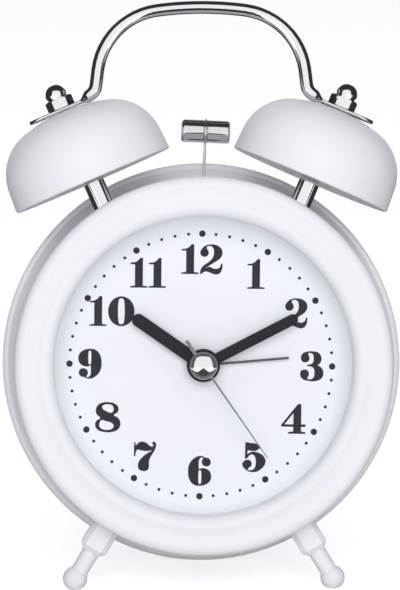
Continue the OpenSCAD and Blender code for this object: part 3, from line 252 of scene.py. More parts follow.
class Field:
    """A value, colour or vector in a material's nodes, which can be compared with a number."""

    def __init__(self, finish, socket):
        self.finish = finish
        self.socket = socket

    def __gt__(self, other):
        return self.finish.node("ShaderNodeMath", {"operation": "GREATER_THAN"}, {0: self, 1: other})


class Finish:
    """A material made of nodes round one Principled shader."""

    def __init__(self, name):
        self.material = bpy.data.materials.new(name)
        self.material.use_nodes = True
        self.tree = self.material.node_tree
        self.shader = self.tree.nodes["Principled BSDF"]

    def node(self, kind, settings=None, sockets=None, output=0):
        """Adds a node, sets its settings, fills its sockets and returns one of its outputs."""
        made = self.tree.nodes.new(kind)
        for key, value in (settings or {}).items():
            setattr(made, key, value)
        for key, value in (sockets or {}).items():
            self.fill(made.inputs[key], value)
        return Field(self, made.outputs[output])

    def fill(self, socket, value):
        """Links a field to a socket, or sets the socket's own value."""
        if isinstance(value, Field):
            self.tree.links.new(value.socket, socket)
        else:
            socket.default_value = value

    def surface(self, **sockets):
        """Fills the shader's sockets, named with underscores for spaces."""
        for key, value in sockets.items():
            self.fill(self.shader.inputs[key.replace("_", " ")], value)

    def place(self):
        """Object coordinates, which are the row's metres."""
        return self.node("ShaderNodeTexCoord", output="Object")

    def noise(self, scale, detail=3.0, rough=0.5):
        """Noise with about that many blotches to the metre."""
        return self.node("ShaderNodeTexNoise", None,
                         {"Vector": self.place(), "Scale": scale, "Detail": detail, "Roughness": rough})

    def bands(self, scale, distortion, detail=2.0):
        """Fine bands one behind the other along x."""
        return self.node("ShaderNodeTexWave", {"wave_type": "BANDS", "bands_direction": "X"},
                         {"Vector": self.place(), "Scale": scale, "Distortion": distortion,
                          "Detail": detail})

    def ramp(self, value, low, high, to_low, to_high):
        """A value moved from one range into another and kept inside it."""
        return self.node("ShaderNodeMapRange", {"clamp": True},
                         {"Value": value, "From Min": low, "From Max": high,
                          "To Min": to_low, "To Max": to_high})

    def blend(self, amount, first, second):
        """A colour between two colours."""
        return self.node("ShaderNodeMix", {"data_type": "RGBA"},
                         {"Factor": amount, 6: first, 7: second}, output=2)

    def bump(self, height, distance, strength=1.0):
        """A normal that follows a height, with the relief in metres."""
        return self.node("ShaderNodeBump", None,
                         {"Height": height, "Distance": distance, "Strength": strength})


def shade(colour, factor):
    """A colour made lighter or darker, with its alpha."""
    return (*(min(1.0, channel * factor) for channel in colour), 1.0)


def tones(made, pattern, colour, low, high):
    """A colour that goes from a darker to a lighter tone of itself with a pattern."""
    return made.blend(pattern, shade(colour, low), shade(colour, high))


def mottled(name, colour, tone, mottle, rough, gloss, peel, relief, strength, span=(0.3, 0.7), **more):
    """A finish whose colour, gloss and relief each follow a noise of their own.
    The noises are given by scale, detail and roughness, and the relief in micrometres."""
    made = Finish(name)
    made.surface(
        Base_Color=tones(made, made.noise(*mottle), colour, *tone),
        Roughness=made.ramp(made.noise(*gloss), *span, *rough),
        Normal=made.bump(made.noise(*peel), relief * MICRON, strength),
        **more)
    return made.material


def lacquer(name, colour, rough):
    """Sprayed satin lacquer on thin sheet."""
    return mottled(name, colour, tone=(0.85, 1.25), mottle=(260,), rough=(rough - 0.06, rough + 0.08),
                   gloss=(1500,), peel=(1500,), relief=10, strength=0.25, Specular_IOR_Level=0.12)


def plated(name, colour, rough):
    """Bright plating with faint smears and fine polishing lines."""
    return mottled(name, colour, tone=(0.94, 1.04), mottle=(120, 4, 0.6), rough=(rough, rough + 0.05),
                   gloss=(120, 4, 0.6), span=(0.35, 0.7), peel=(2200, 2), relief=3, strength=0.2,
                   Metallic=1.0)


def moulded(name, colour, grain, rough):
    """Injection-moulded plastic with a spark-eroded grain."""
    return mottled(name, colour, tone=(0.95, 1.04), mottle=(70,), rough=(rough - 0.06, rough + 0.08),
                   gloss=(grain, 4, 0.6), peel=(grain, 4, 0.6), relief=30, strength=0.35)


def tarnished(name, colour, tone, patch, rough, peel, relief, strength):
    """Dull metal with darker patches."""
    return mottled(name, colour, tone, mottle=(patch, 5, 0.65), rough=rough, gloss=(patch, 5, 0.65),
                   peel=(peel,), relief=relief, strength=strength, Metallic=1.0)


def turned_steel(colours):
    """Steel with the fine rings of a lathe tool across the hammer's head."""
    made = Finish("turned_steel")
    rings = made.bands(900, 0.6)
    made.surface(
        Base_Color=tones(made, made.noise(160, 4), colours.steel, 0.94, 1.05),
        Metallic=1.0,
        Roughness=made.ramp(rings, 0, 1, 0.12, 0.18),
        Normal=made.bump(rings, 2 * MICRON, 0.2))
    return made.material


def winding(colours):
    """Turns of enamelled copper wire side by side, darker in the grooves between the turns as painted shade."""
    made = Finish("copper_winding")
    turns = made.bands(1250, 0.3)
    made.surface(
        # darker tone where the bands are low: painted shade in the grooves between the turns
        Base_Color=tones(made, turns, colours.copper, 0.45, 1.1),
        Metallic=1.0,
        Roughness=made.ramp(turns, 0, 1, 0.45, 0.28),
        Normal=made.bump(turns, 80 * MICRON, 0.8))
    return made.material


def circuit_board(colours):
    """Green resist with paler tracks under it."""
    made = Finish("board")
    tracks = made.node("ShaderNodeTexBrick", {"offset": 0.5},
                       {"Vector": made.place(), "Scale": 420.0, "Mortar Size": 0.03,
                        "Color1": shade(colours.board, 1.0), "Color2": shade(colours.board, 1.15),
                        "Mortar": shade(colours.board, 1.9)})
    made.surface(Base_Color=tracks, Roughness=made.ramp(made.noise(500), 0.3, 0.7, 0.3, 0.42))
    return made.material


def battery_jacket(colours):
    """Shrunk printed film with a bright band at one end."""
    made = Finish("battery_jacket")
    across = made.node("ShaderNodeSeparateXYZ", None, {0: made.place()})
    band = across > BAND_START
    film = tones(made, made.noise(90), colours.jacket, 0.85, 1.2)
    made.surface(
        Base_Color=made.blend(band, film, shade(colours.copper, 1.1)),
        Roughness=made.ramp(made.noise(400), 0.3, 0.7, 0.22, 0.32),
        Coat_Weight=0.4, Coat_Roughness=0.1)
    return made.material


def clear_lens():
    """Clear acrylic: see-through face on, with a reflection that grows towards the edge."""
    made = Finish("clear_lens")
    gloss = made.node("ShaderNodeLayerWeight", None, {"Blend": 0.12}, output="Fresnel")
    scuff = made.noise(900, 3)
    made.surface(
        Base_Color=(0.5, 0.52, 0.55, 1.0),
        Roughness=made.ramp(scuff, 0.3, 0.7, 0.02, 0.05),
        Alpha=made.ramp(gloss, 0.0, 0.6, 0.008, 0.35))
    return made.material


FINISHES = {}


def mix_finishes(colours):
    """Makes every finish once."""
    FINISHES.update(
        white_enamel=mottled(
            "white_enamel", colours.enamel, tone=(0.97, 1.02), mottle=(55, 2), rough=(0.42, 0.52),
            gloss=(300,), peel=(850, 2), relief=40, strength=0.25, Specular_IOR_Level=0.3,
            Coat_Weight=0.08, Coat_Roughness=0.2),
        clear_glass=clear_lens(),
        dial_white=mottled(
            "dial_white", colours.dial, tone=(0.985, 1.01), mottle=(40,), rough=(0.5, 0.62),
            gloss=(2600, 2), peel=(2600, 2), relief=10, strength=0.2),
        ink=mottled(
            "printed_ink", colours.ink, tone=(0.8, 1.35), mottle=(1800,), rough=(0.42, 0.6),
            gloss=(1800,), peel=(1800,), relief=10, strength=0.3, Specular_IOR_Level=0.15),
        black_paint=lacquer("black_paint", colours.hands, 0.38),
        dark_needle=lacquer("dark_needle", colours.dark_needle, 0.42),
        silver_needle=plated("silver_needle", colours.needle, 0.22),
        chrome=plated("chrome", colours.chrome, 0.05),
        turned_steel=turned_steel(colours),
        soft_iron=tarnished("rolled_iron", colours.iron, (0.7, 1.15), 220, (0.34, 0.5), 1400, 10, 0.4),
        copper_winding=winding(colours),
        white_plastic=moulded("white_plastic", colours.plastic, 1700, 0.42),
        dark_plastic=moulded("dark_plastic", colours.dark_plastic, 1500, 0.4),
        movement_plastic=moulded("movement_plastic", colours.moulded, 1300, 0.48),
        brass=tarnished("brass", colours.brass, (0.7, 1.08), 240, (0.2, 0.36), 1600, 6, 0.3),
        board=circuit_board(colours),
        battery_jacket=battery_jacket(colours))


def deselect_all():
    """Leaves edit mode and selects nothing."""
    if bpy.context.mode != "OBJECT":
        bpy.ops.object.mode_set(mode="OBJECT")
    bpy.ops.object.select_all(action="DESELECT")


def arc(centre, radius, start, end, count):
    """Points of an arc in a section's plane, with its angles in degrees."""
    turns = [math.radians(start + (end - start) * i / count) for i in range(count + 1)]
    return [(centre[0] + radius * math.cos(a), centre[1] + radius * math.sin(a)) for a in turns]


def draw_section(name, points, upright):
    """Begins a piece in edit mode and draws its section by extruding one vertex from point to point.
    An upright section has its axis along z, and any other has it along the dial's y."""
    deselect_all()
    bpy.ops.mesh.primitive_plane_add(size=MM)
    bpy.context.object.name = name
    bpy.ops.object.mode_set(mode="EDIT")
    bpy.ops.mesh.merge(type="CENTER")
    places = [Vector((p[0], 0, p[1])) if upright else Vector((p[0], p[1], 0)) for p in points]
    bpy.ops.transform.translate(value=places[0])
    for here, there in zip(places, places[1:]):
        bpy.ops.mesh.extrude_region_move(TRANSFORM_OT_translate={"value": there - here})
    return bpy.context.object


def spin(name, points, upright=False, steps=FINE_STEPS):
    """A turned piece: a section spun about its axis, closed and with its faces outwards."""
    piece = draw_section(name, points, upright)
    bpy.ops.mesh.select_all(action="SELECT")
    bpy.ops.mesh.spin(steps=steps, angle=math.tau, center=(0, 0, 0),
                      axis=(0, 0, 1) if upright else (0, 1, 0))
    close_up()
    return piece


def close_up():
    """Merges what meets and turns the faces outwards, then leaves edit mode."""
    bpy.ops.mesh.select_all(action="SELECT")
    bpy.ops.mesh.remove_doubles(threshold=0.000002)
    bpy.ops.mesh.dissolve_degenerate(threshold=0.000001)
    bpy.ops.mesh.select_all(action="SELECT")
    bpy.ops.mesh.normals_make_consistent(inside=False)
    bpy.ops.object.mode_set(mode="OBJECT")


def select_only(piece):
    """Makes one piece the selected and active one."""
    deselect_all()
    piece.select_set(True)
    bpy.context.view_layer.objects.active = piece


def apply_modifier(piece, kind, **settings):
    """Adds a modifier to a piece, sets it and applies it."""
    select_only(piece)
    bpy.ops.object.modifier_add(type=kind)
    modifier = piece.modifiers[-1]
    for key, value in settings.items():
        setattr(modifier, key, value)
    bpy.ops.object.modifier_apply(modifier=modifier.name)


def combine(piece, tool, operation):
    """Cuts, joins or crosses a piece with a tool, which is then gone."""
    apply_modifier(piece, "BOOLEAN", operation=operation, object=tool, solver="EXACT")
    bpy.data.objects.remove(tool)


def merge_pieces(pieces):
    """Joins several modelled shapes into the first one."""
    deselect_all()
    for piece in pieces:
        piece.select_set(True)
    bpy.context.view_layer.objects.active = pieces[0]
    bpy.ops.object.join()
    return pieces[0]


def copy_piece(piece, name):
    """A copy with a mesh of its own."""
    select_only(piece)
    bpy.ops.object.duplicate(linked=False)
    bpy.context.object.name = name
    return bpy.context.object


def settle(piece, place, finish, nodes=(), body="clock", smooth=38):
    """Puts a modelled piece in its place, gives it its finish and its body, and hides the CAD nodes it stands for."""
    select_only(piece)
    piece.matrix_world = place
    bpy.ops.object.transform_apply(location=True, rotation=True, scale=True)
    bpy.ops.object.shade_smooth_by_angle(angle=math.radians(smooth))
    piece.data.materials.clear()
    piece.data.materials.append(FINISHES[finish])
    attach(piece, body)
    if nodes:
        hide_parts(*nodes)
    return piece


def bell_place(bells, side):
    """The place of a bell's rim centre, with z along the bell's axis."""
    return (DIAL_PLACE @ Matrix.Translation((side * bells.side, bells.depth, bells.height))
            @ Matrix.Rotation(side * bells.tilt, 4, "Y"))


def foot_place(case, side):
    """The place of a foot, with z from the dial's axis towards the ball."""
    return (DIAL_PLACE @ Matrix.Translation((0, case.foot_depth, 0))
            @ Matrix.Rotation(side * (math.pi - case.foot_angle), 4, "Y"))


def hammer_place(bells):
    """The place of the hammer's pivot, with z along the wire at rest."""
    return (DIAL_PLACE @ Matrix.Translation((0, bells.depth, bells.pivot))
            @ Matrix.Rotation(bells.rest, 4, "Y"))


SIDES = {"left": -1, "right": 1}


class CLOCK_OT_finishes(Operator):
    """Makes the finishes and gives every frame node the one that its slot asks for"""
    bl_idname = "clock.finishes"
    bl_label = "Finishes"

    def execute(self, context):
        mix_finishes(context.scene.clock_colours)
        for part in frame["record"]["subparts"]:
            node = NODES[part["node"]]
            node.data.materials.clear()
            node.data.materials.append(FINISHES[part["material_slot"]])
        return {"FINISHED"}


class CLOCK_OT_bezel(Operator):
    """Spins the bezel with its two rolls, and the white ring behind the glass"""
    bl_idname = "clock.bezel"
    bl_label = "Bezel"

    def execute(self, context):
        case = context.scene.clock_case
        inner = Vector((case.window + case.inner_roll, case.inner_roll))
        outer = Vector((case.bezel - case.outer_roll, case.inner_roll))
        reach_in = case.inner_roll + case.valley
        reach_out = case.outer_roll + case.valley
        gap = (outer - inner).length
        along = (reach_in ** 2 - reach_out ** 2 + gap ** 2) / (2 * gap)
        valley = inner + Vector((along, -math.sqrt(reach_in ** 2 - along ** 2)))
        from_in = math.degrees(math.atan2(*(valley - inner).yx))
        from_out = math.degrees(math.atan2(*(valley - outer).yx))
        skirt_in = case.bezel - case.skirt_wall
        lip = 0.3 * case.skirt_wall
        section = (
            arc(inner, case.inner_roll, 180, 360 + from_in, 28)
            + arc(valley, case.valley, 180 + from_in, 180 + from_out, 12)[1:]
            + arc(outer, case.outer_roll, from_out, 0, 24)[1:]
            + [(case.bezel, case.skirt_end - lip), (case.bezel - lip, case.skirt_end),
               (skirt_in, case.skirt_end), (skirt_in, case.drum_front),
               (case.lens_radius, case.drum_front), (case.lens_radius, case.lens_depth),
               (case.window, case.lens_depth), (case.window, case.inner_roll)])
        settle(spin("bezel_ring", section), DIAL_PLACE, "white_enamel", ["front_bezel"])
        ring_front = case.lens_depth + case.lens_thickness
        ring_back = depth_of("dial")[0]
        ring_in = case.window + SEAT
        ring_out = case.lens_radius - SEAT
        ring = [(ring_in, ring_front), (ring_out, ring_front), (ring_out, ring_back),
                (ring_in, ring_back), (ring_in, ring_front)]
        settle(spin("dial_wall", ring), DIAL_PLACE, "dial_white", ["dial_ring"])
        return {"FINISHED"}


class CLOCK_OT_drum(Operator):
    """Spins the drum with its flare and rolled edge, and cuts the hammer's slot"""
    bl_idname = "clock.drum"
    bl_label = "Drum"

    def execute(self, context):
        case = context.scene.clock_case
        bells = context.scene.clock_bells
        centre = (case.drum + case.flare_sweep, case.flare_start)
        middle = case.flare_sweep + case.drum_wall / 2
        sweep = math.asin((case.bead_depth - case.flare_start) / middle)
        bead = (centre[0] - middle * math.cos(sweep), case.bead_depth)
        throat = math.asin(case.drum_wall / 2 / case.bead)
        sheet_end = 180 - math.degrees(sweep - case.bead * math.cos(throat) / middle)
        back = math.degrees(math.atan2(-math.cos(sweep), -math.sin(sweep)))
        mouth = math.degrees(throat)
        inside = case.drum - case.drum_wall
        section = (
            [(inside, case.drum_front), (case.drum, case.drum_front)]
            + arc(centre, case.flare_sweep, 180, sheet_end, 24)
            + arc(bead, case.bead, back + mouth, back + 360 - mouth, 32)
            + arc(centre, case.flare_sweep + case.drum_wall, sheet_end, 180, 24)
            + [(inside, case.drum_front)])
        drum = spin("drum_shell", section)
        deselect_all()
        bpy.ops.mesh.primitive_cube_add(size=1, location=(0, bells.depth, case.drum))
        cutter = bpy.context.object
        cutter.scale = HAMMER_SLOT
        bpy.ops.object.transform_apply(location=False, rotation=False, scale=True)
        combine(drum, cutter, "DIFFERENCE")
        settle(drum, DIAL_PLACE, "white_enamel", ["drum_case"])
        return {"FINISHED"}


class CLOCK_OT_lens(Operator):
    """Turns the clear lens with a polished edge"""
    bl_idname = "clock.lens"
    bl_label = "Lens"

    def execute(self, context):
        case = context.scene.clock_case
        front = case.lens_depth
        back = front + case.lens_thickness
        edge = 0.2 * case.lens_thickness
        rim = case.lens_radius
        section = [(0, front), (rim - edge, front), (rim, front + edge), (rim, back - edge),
                   (rim - edge, back), (0, back)]
        settle(spin("lens_disc", section), DIAL_PLACE, "clear_glass", ["lens"])
        return {"FINISHED"}


class CLOCK_OT_feet(Operator):
    """Models a foot with collar, neck and ball, and sets one on each side"""
    bl_idname = "clock.feet"
    bl_label = "Feet"

    def execute(self, context):
        case = context.scene.clock_case
        top = case.drum - SEAT
        height = case.collar_end - top
        deselect_all()
        bpy.ops.mesh.primitive_cube_add(size=1, location=(0, 0, top + height / 2))
        collar = bpy.context.object
        collar.scale = (case.collar, case.collar, height)
        bpy.ops.object.transform_apply(location=True, rotation=False, scale=True)
        for edge in collar.data.edges:
            ends = [collar.data.vertices[i].co for i in edge.vertices]
            edge.select = abs(ends[0].z - ends[1].z) > height / 2
        bpy.ops.object.mode_set(mode="EDIT")
        bpy.ops.mesh.select_mode(type="EDGE")
        bpy.ops.mesh.bevel(offset=case.chamfer, segments=1)
        bpy.ops.mesh.select_mode(type="VERT")
        bpy.ops.object.mode_set(mode="OBJECT")
        worn_edge = 0.1 * MM
        apply_modifier(collar, "BEVEL", width=worn_edge, segments=2, limit_method="ANGLE")
        root = 0.2 * MM
        reach = case.ball + case.neck_fillet
        side = case.neck + case.neck_fillet
        back = math.sqrt(reach ** 2 - side ** 2)
        meet = math.degrees(math.atan2(back, side))
        section = (
            [(0, case.collar_end - root), (case.neck_root + root, case.collar_end - root)]
            + arc((case.neck_root + root, case.collar_end + root), root, 270, 180, 10)
            + arc((side, case.ball_distance - back), case.neck_fillet, 180, 180 - meet, 10)
            + arc((0, case.ball_distance), case.ball, -meet, 90, 28)[1:])
        stem = spin("foot_stem", section, upright=True, steps=SMALL_STEPS)
        foot = merge_pieces([collar, stem])
        for name, side in SIDES.items():
            piece = copy_piece(foot, name + "_foot_turned")
            settle(piece, foot_place(case, side), "white_enamel", [name + "_foot"],
                   smooth=12)
            bpy.ops.object.mode_set(mode="EDIT")
            bpy.ops.mesh.select_all(action="SELECT")
            bpy.ops.mesh.bisect(plane_co=(0, 0, 0), plane_no=(0, 0, 1), use_fill=True, clear_inner=True)
            bpy.ops.object.mode_set(mode="OBJECT")
        bpy.data.objects.remove(foot)
        return {"FINISHED"}


class CLOCK_OT_bells(Operator):
    """Spins a bell with a rounded rim and sets one on each side"""
    bl_idname = "clock.bells"
    bl_label = "Bells"

    def execute(self, context):
        bells = context.scene.clock_bells
        slope = math.degrees(bells.flare)
        shoulder = (bells.rim - bells.shoulder_height * math.tan(bells.flare)
                    - bells.shoulder / math.cos(bells.flare), bells.shoulder_height)
        lift = bells.crown - bells.shoulder_height
        crown = (shoulder[0] ** 2 + lift ** 2 - bells.shoulder ** 2) / (2 * (lift - bells.shoulder))
        middle = (0, bells.crown - crown)
        meet = math.degrees(math.atan2(shoulder[1] - middle[1], shoulder[0]))
        bolt = 1.5 * MM
        hole = math.degrees(math.acos(bolt / crown))
        half = bells.wall / 2
        section = (
            arc((bells.rim - half, half), half, -180, 0, 8)
            + arc(shoulder, bells.shoulder, slope, meet, 28)
            + arc(middle, crown, meet, hole, 12)[1:]
            + arc(middle, crown - bells.wall, hole, meet, 12)
            + arc(shoulder, bells.shoulder - bells.wall, meet, slope, 28)[1:]
            + [(bells.rim - bells.wall, half)])
        bell = spin("bell", section, upright=True)
        for name, side in SIDES.items():
            piece = copy_piece(bell, name + "_bell_shell")
            settle(piece, bell_place(bells, side), "white_enamel", [name + "_bell"])
        bpy.data.objects.remove(bell)
        return {"FINISHED"}


class CLOCK_OT_posts(Operator):
    """Turns a bell post and an acorn nut and sets them on each side"""
    bl_idname = "clock.posts"
    bl_label = "Posts and nuts"

    def execute(self, context):
        bells = context.scene.clock_bells
        case = context.scene.clock_case
        rim = Vector((bells.side, bells.height))
        run = rim.dot(Vector((math.sin(bells.tilt), math.cos(bells.tilt))))
        sunk = 0.4 * MM
        clear = 0.1 * MM
        edge = 0.2 * MM
        low = run - math.sqrt(run ** 2 - rim.length_squared + case.drum ** 2) + sunk
        top = bells.crown - bells.wall - clear
        section = [(0, -low), (bells.post, -low), (bells.post, top - edge), (bells.post - edge, top),
                   (0, top)]
        post = spin("post", section, upright=True, steps=SMALL_STEPS)
        nut = self.acorn(bells)
        for name, side in SIDES.items():
            place = bell_place(bells, side)
            settle(copy_piece(post, name + "_post_turned"), place, "chrome", [name + "_bell_post"])
            cap = copy_piece(nut, name + "_acorn_nut")
            settle(cap, place @ Matrix.Translation((0, 0, bells.crown + bells.pad)),
                               "chrome")
        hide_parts("acorn_nuts")
        bpy.data.objects.remove(post)
        bpy.data.objects.remove(nut)
        return {"FINISHED"}

    def acorn(self, bells):
        """A hexagon with turned corners under a dome."""
        corner = bells.nut / 2 / math.cos(math.pi / 6)
        deselect_all()
        bpy.ops.mesh.primitive_cylinder_add(vertices=6, radius=corner, depth=bells.nut_height,
                                            location=(0, 0, bells.nut_height / 2),
                                            rotation=(0, 0, math.pi / 6))
        hexagon = bpy.context.object
        bpy.ops.object.transform_apply(location=True, rotation=True)
        cone = corner * 1.02
        rise = 0.3 * MM
        low_cut = 0.35 * MM
        high_cut = 0.45 * MM
        blank = spin("nut_blank", [(0, 0), (cone - low_cut, 0), (cone, rise),
                                   (cone, bells.nut_height - rise),
                                   (cone - high_cut, bells.nut_height), (0, bells.nut_height)],
                     upright=True, steps=SMALL_STEPS)
        combine(hexagon, blank, "INTERSECT")
        ledge = 0.27 * MM
        dome = bells.nut / 2 - ledge
        waist = 0.25 * MM
        centre = bells.nut_height + bells.dome_height - dome
        section = ([(dome - waist, bells.nut_height - waist), (dome - waist, bells.nut_height + waist)]
                   + arc((0, centre), dome, 0, 90, 20))
        cap = spin("nut_dome", section, upright=True, steps=SMALL_STEPS)
        return merge_pieces([hexagon, cap])


class CLOCK_OT_handle(Operator):
    """Smooths the bent and flattened rod of the carry handle"""
    bl_idname = "clock.handle"
    bl_label = "Handle"

    def execute(self, context):
        rod = copy_piece(NODES["carry_handle"], "handle_rod")
        rod.parent = None
        bpy.ops.object.mode_set(mode="EDIT")
        close_up()
        settle(rod, Matrix.Identity(4), "chrome", ["carry_handle"], smooth=45)
        return {"FINISHED"}


class CLOCK_OT_hammer(Operator):
    """Turns the hammer's head and draws its wire with the eye round the head"""
    bl_idname = "clock.hammer"
    bl_label = "Hammer"

    def execute(self, context):
        bells = context.scene.clock_bells
        half = bells.head_length / 2
        chamfer = 0.8 * MM
        groove = 1.2 * bells.wire
        depth = bells.head - 0.7 * bells.wire
        edge = 0.1 * MM
        right = [(depth, groove), (bells.head - edge, groove), (bells.head, groove + edge),
                 *arc((bells.head - chamfer, half - chamfer), chamfer, 0, 90, 8), (0, half)]
        section = [(r, -z) for r, z in reversed(right)] + right
        head = spin("hammer_turned", section, upright=True, steps=SMALL_STEPS)
        place = hammer_place(bells)
        up = Matrix.Translation((0, 0, bells.head_height - bells.pivot))
        across = Matrix.Rotation(math.pi / 2, 4, "Y")
        settle(head, place @ up @ across, "turned_steel", ["hammer_head"], body="hammer")
        reach = bells.head_height - bells.pivot - bells.head
        start = 2.2 * MM
        loose = 0.04 * MM
        wire = spin("hammer_wire", [(0, start), (bells.wire, start), (bells.wire, reach), (0, reach)],
                    upright=True, steps=WIRE_STEPS)
        deselect_all()
        bpy.ops.mesh.primitive_torus_add(major_radius=bells.head + loose, minor_radius=bells.wire,
                                         major_segments=SMALL_STEPS, minor_segments=20,
                                         location=up.to_translation(), rotation=(0, math.pi / 2, 0))
        eye = bpy.context.object
        bpy.ops.object.transform_apply(location=True, rotation=True)
        rod = merge_pieces([wire, eye])
        settle(rod, place, "turned_steel", ["hammer_rod"], body="hammer")
        return {"FINISHED"}


class CLOCK_OT_hands(Operator):
    """Cuts the hands from sheet and domes the cap over their centre"""
    bl_idname = "clock.hands"
    bl_label = "Hands"

    def execute(self, context):
        hands = context.scene.clock_hands
        cut = [
            ("hour", hands.hour_length, 0, hands.hour_width, hands.hour_angle, "black_paint", "hours"),
            ("minute", hands.minute_length, 0, hands.minute_width, hands.minute_angle, "black_paint",
             "minutes"),
            ("second", hands.second_length, hands.second_tail, hands.needle, hands.second_angle,
             "silver_needle", "seconds"),
            ("alarm", hands.alarm_length, 0, hands.needle, hands.alarm_angle, "dark_needle", "alarm_time"),
        ]
        hubs = {"hour": 0.85 * hands.boss, "minute": hands.boss, "second": 0.4 * hands.boss,
                "alarm": 0.8 * hands.boss}
        for name, tip, tail, width, angle, finish, body in cut:
            node = name + "_hand"
            point = hands.point if tail else width
            hand = self.bar(tip, 0, width, hands.thickness, point)
            more = [self.bar(hubs[name], hubs[name], 2 * hubs[name], hands.thickness)]
            if tail:
                more.append(self.bar(0, tail, hands.tail_width, hands.thickness))
            for piece in more:
                combine(hand, piece, "UNION")
            apply_modifier(hand, "BEVEL", width=0.25 * hands.thickness, segments=2, limit_method="ANGLE")
            hand.name = name + "_hand_cut"
            front = Matrix.Translation((0, depth_of(node)[0], 0))
            place = DIAL_PLACE @ front @ Matrix.Rotation(angle, 4, "Y")
            settle(hand, place, finish, [node], body=body, smooth=30)
        self.cap(hands)
        return {"FINISHED"}

    def bar(self, tip, tail, width, thickness, point=0):
        """A strip with round ends along z, from a disc that is parted and drawn out.
        A point narrows the tip."""
        sides = 48
        deselect_all()
        bpy.ops.mesh.primitive_circle_add(vertices=sides, radius=width / 2, fill_type="NGON",
                                          rotation=(math.pi / 2, 0, 0))
        strip = bpy.context.object
        strip.rotation_euler.rotate_axis("Z", math.pi / sides)
        bpy.ops.object.transform_apply(rotation=True)
        for vertex in strip.data.vertices:
            vertex.select = vertex.co.z > 0
        for part in (*strip.data.edges, *strip.data.polygons):
            part.select = False
        bpy.ops.object.mode_set(mode="EDIT")
        bpy.ops.transform.translate(value=(0, 0, max(0, tip - width / 2)))
        if point:
            bpy.ops.transform.resize(value=(point / width, 1, 1), center_override=(0, 0, 0))
        bpy.ops.mesh.select_all(action="INVERT")
        bpy.ops.transform.translate(value=(0, 0, min(0, width / 2 - tail) if tail else 0))
        bpy.ops.mesh.select_all(action="SELECT")
        bpy.ops.mesh.extrude_region_move(TRANSFORM_OT_translate={"value": (0, thickness, 0)})
        close_up()
        return strip

    def cap(self, hands):
        """A polished dome with a short straight edge."""
        back = depth_of("hand_cap")[1]
        front = back - hands.cap_height
        edge = 0.25 * hands.cap_height
        rise = hands.cap_height - edge
        dome = (hands.cap ** 2 + rise ** 2) / (2 * rise)
        span = math.degrees(math.asin(hands.cap / dome))
        section = (arc((0, front + dome), dome, 270, 270 + span, 24)
                   + [(hands.cap, back), (0, back)])
        settle(spin("cap_dome", section, steps=SMALL_STEPS), DIAL_PLACE, "chrome", ["hand_cap"],
               body="seconds")


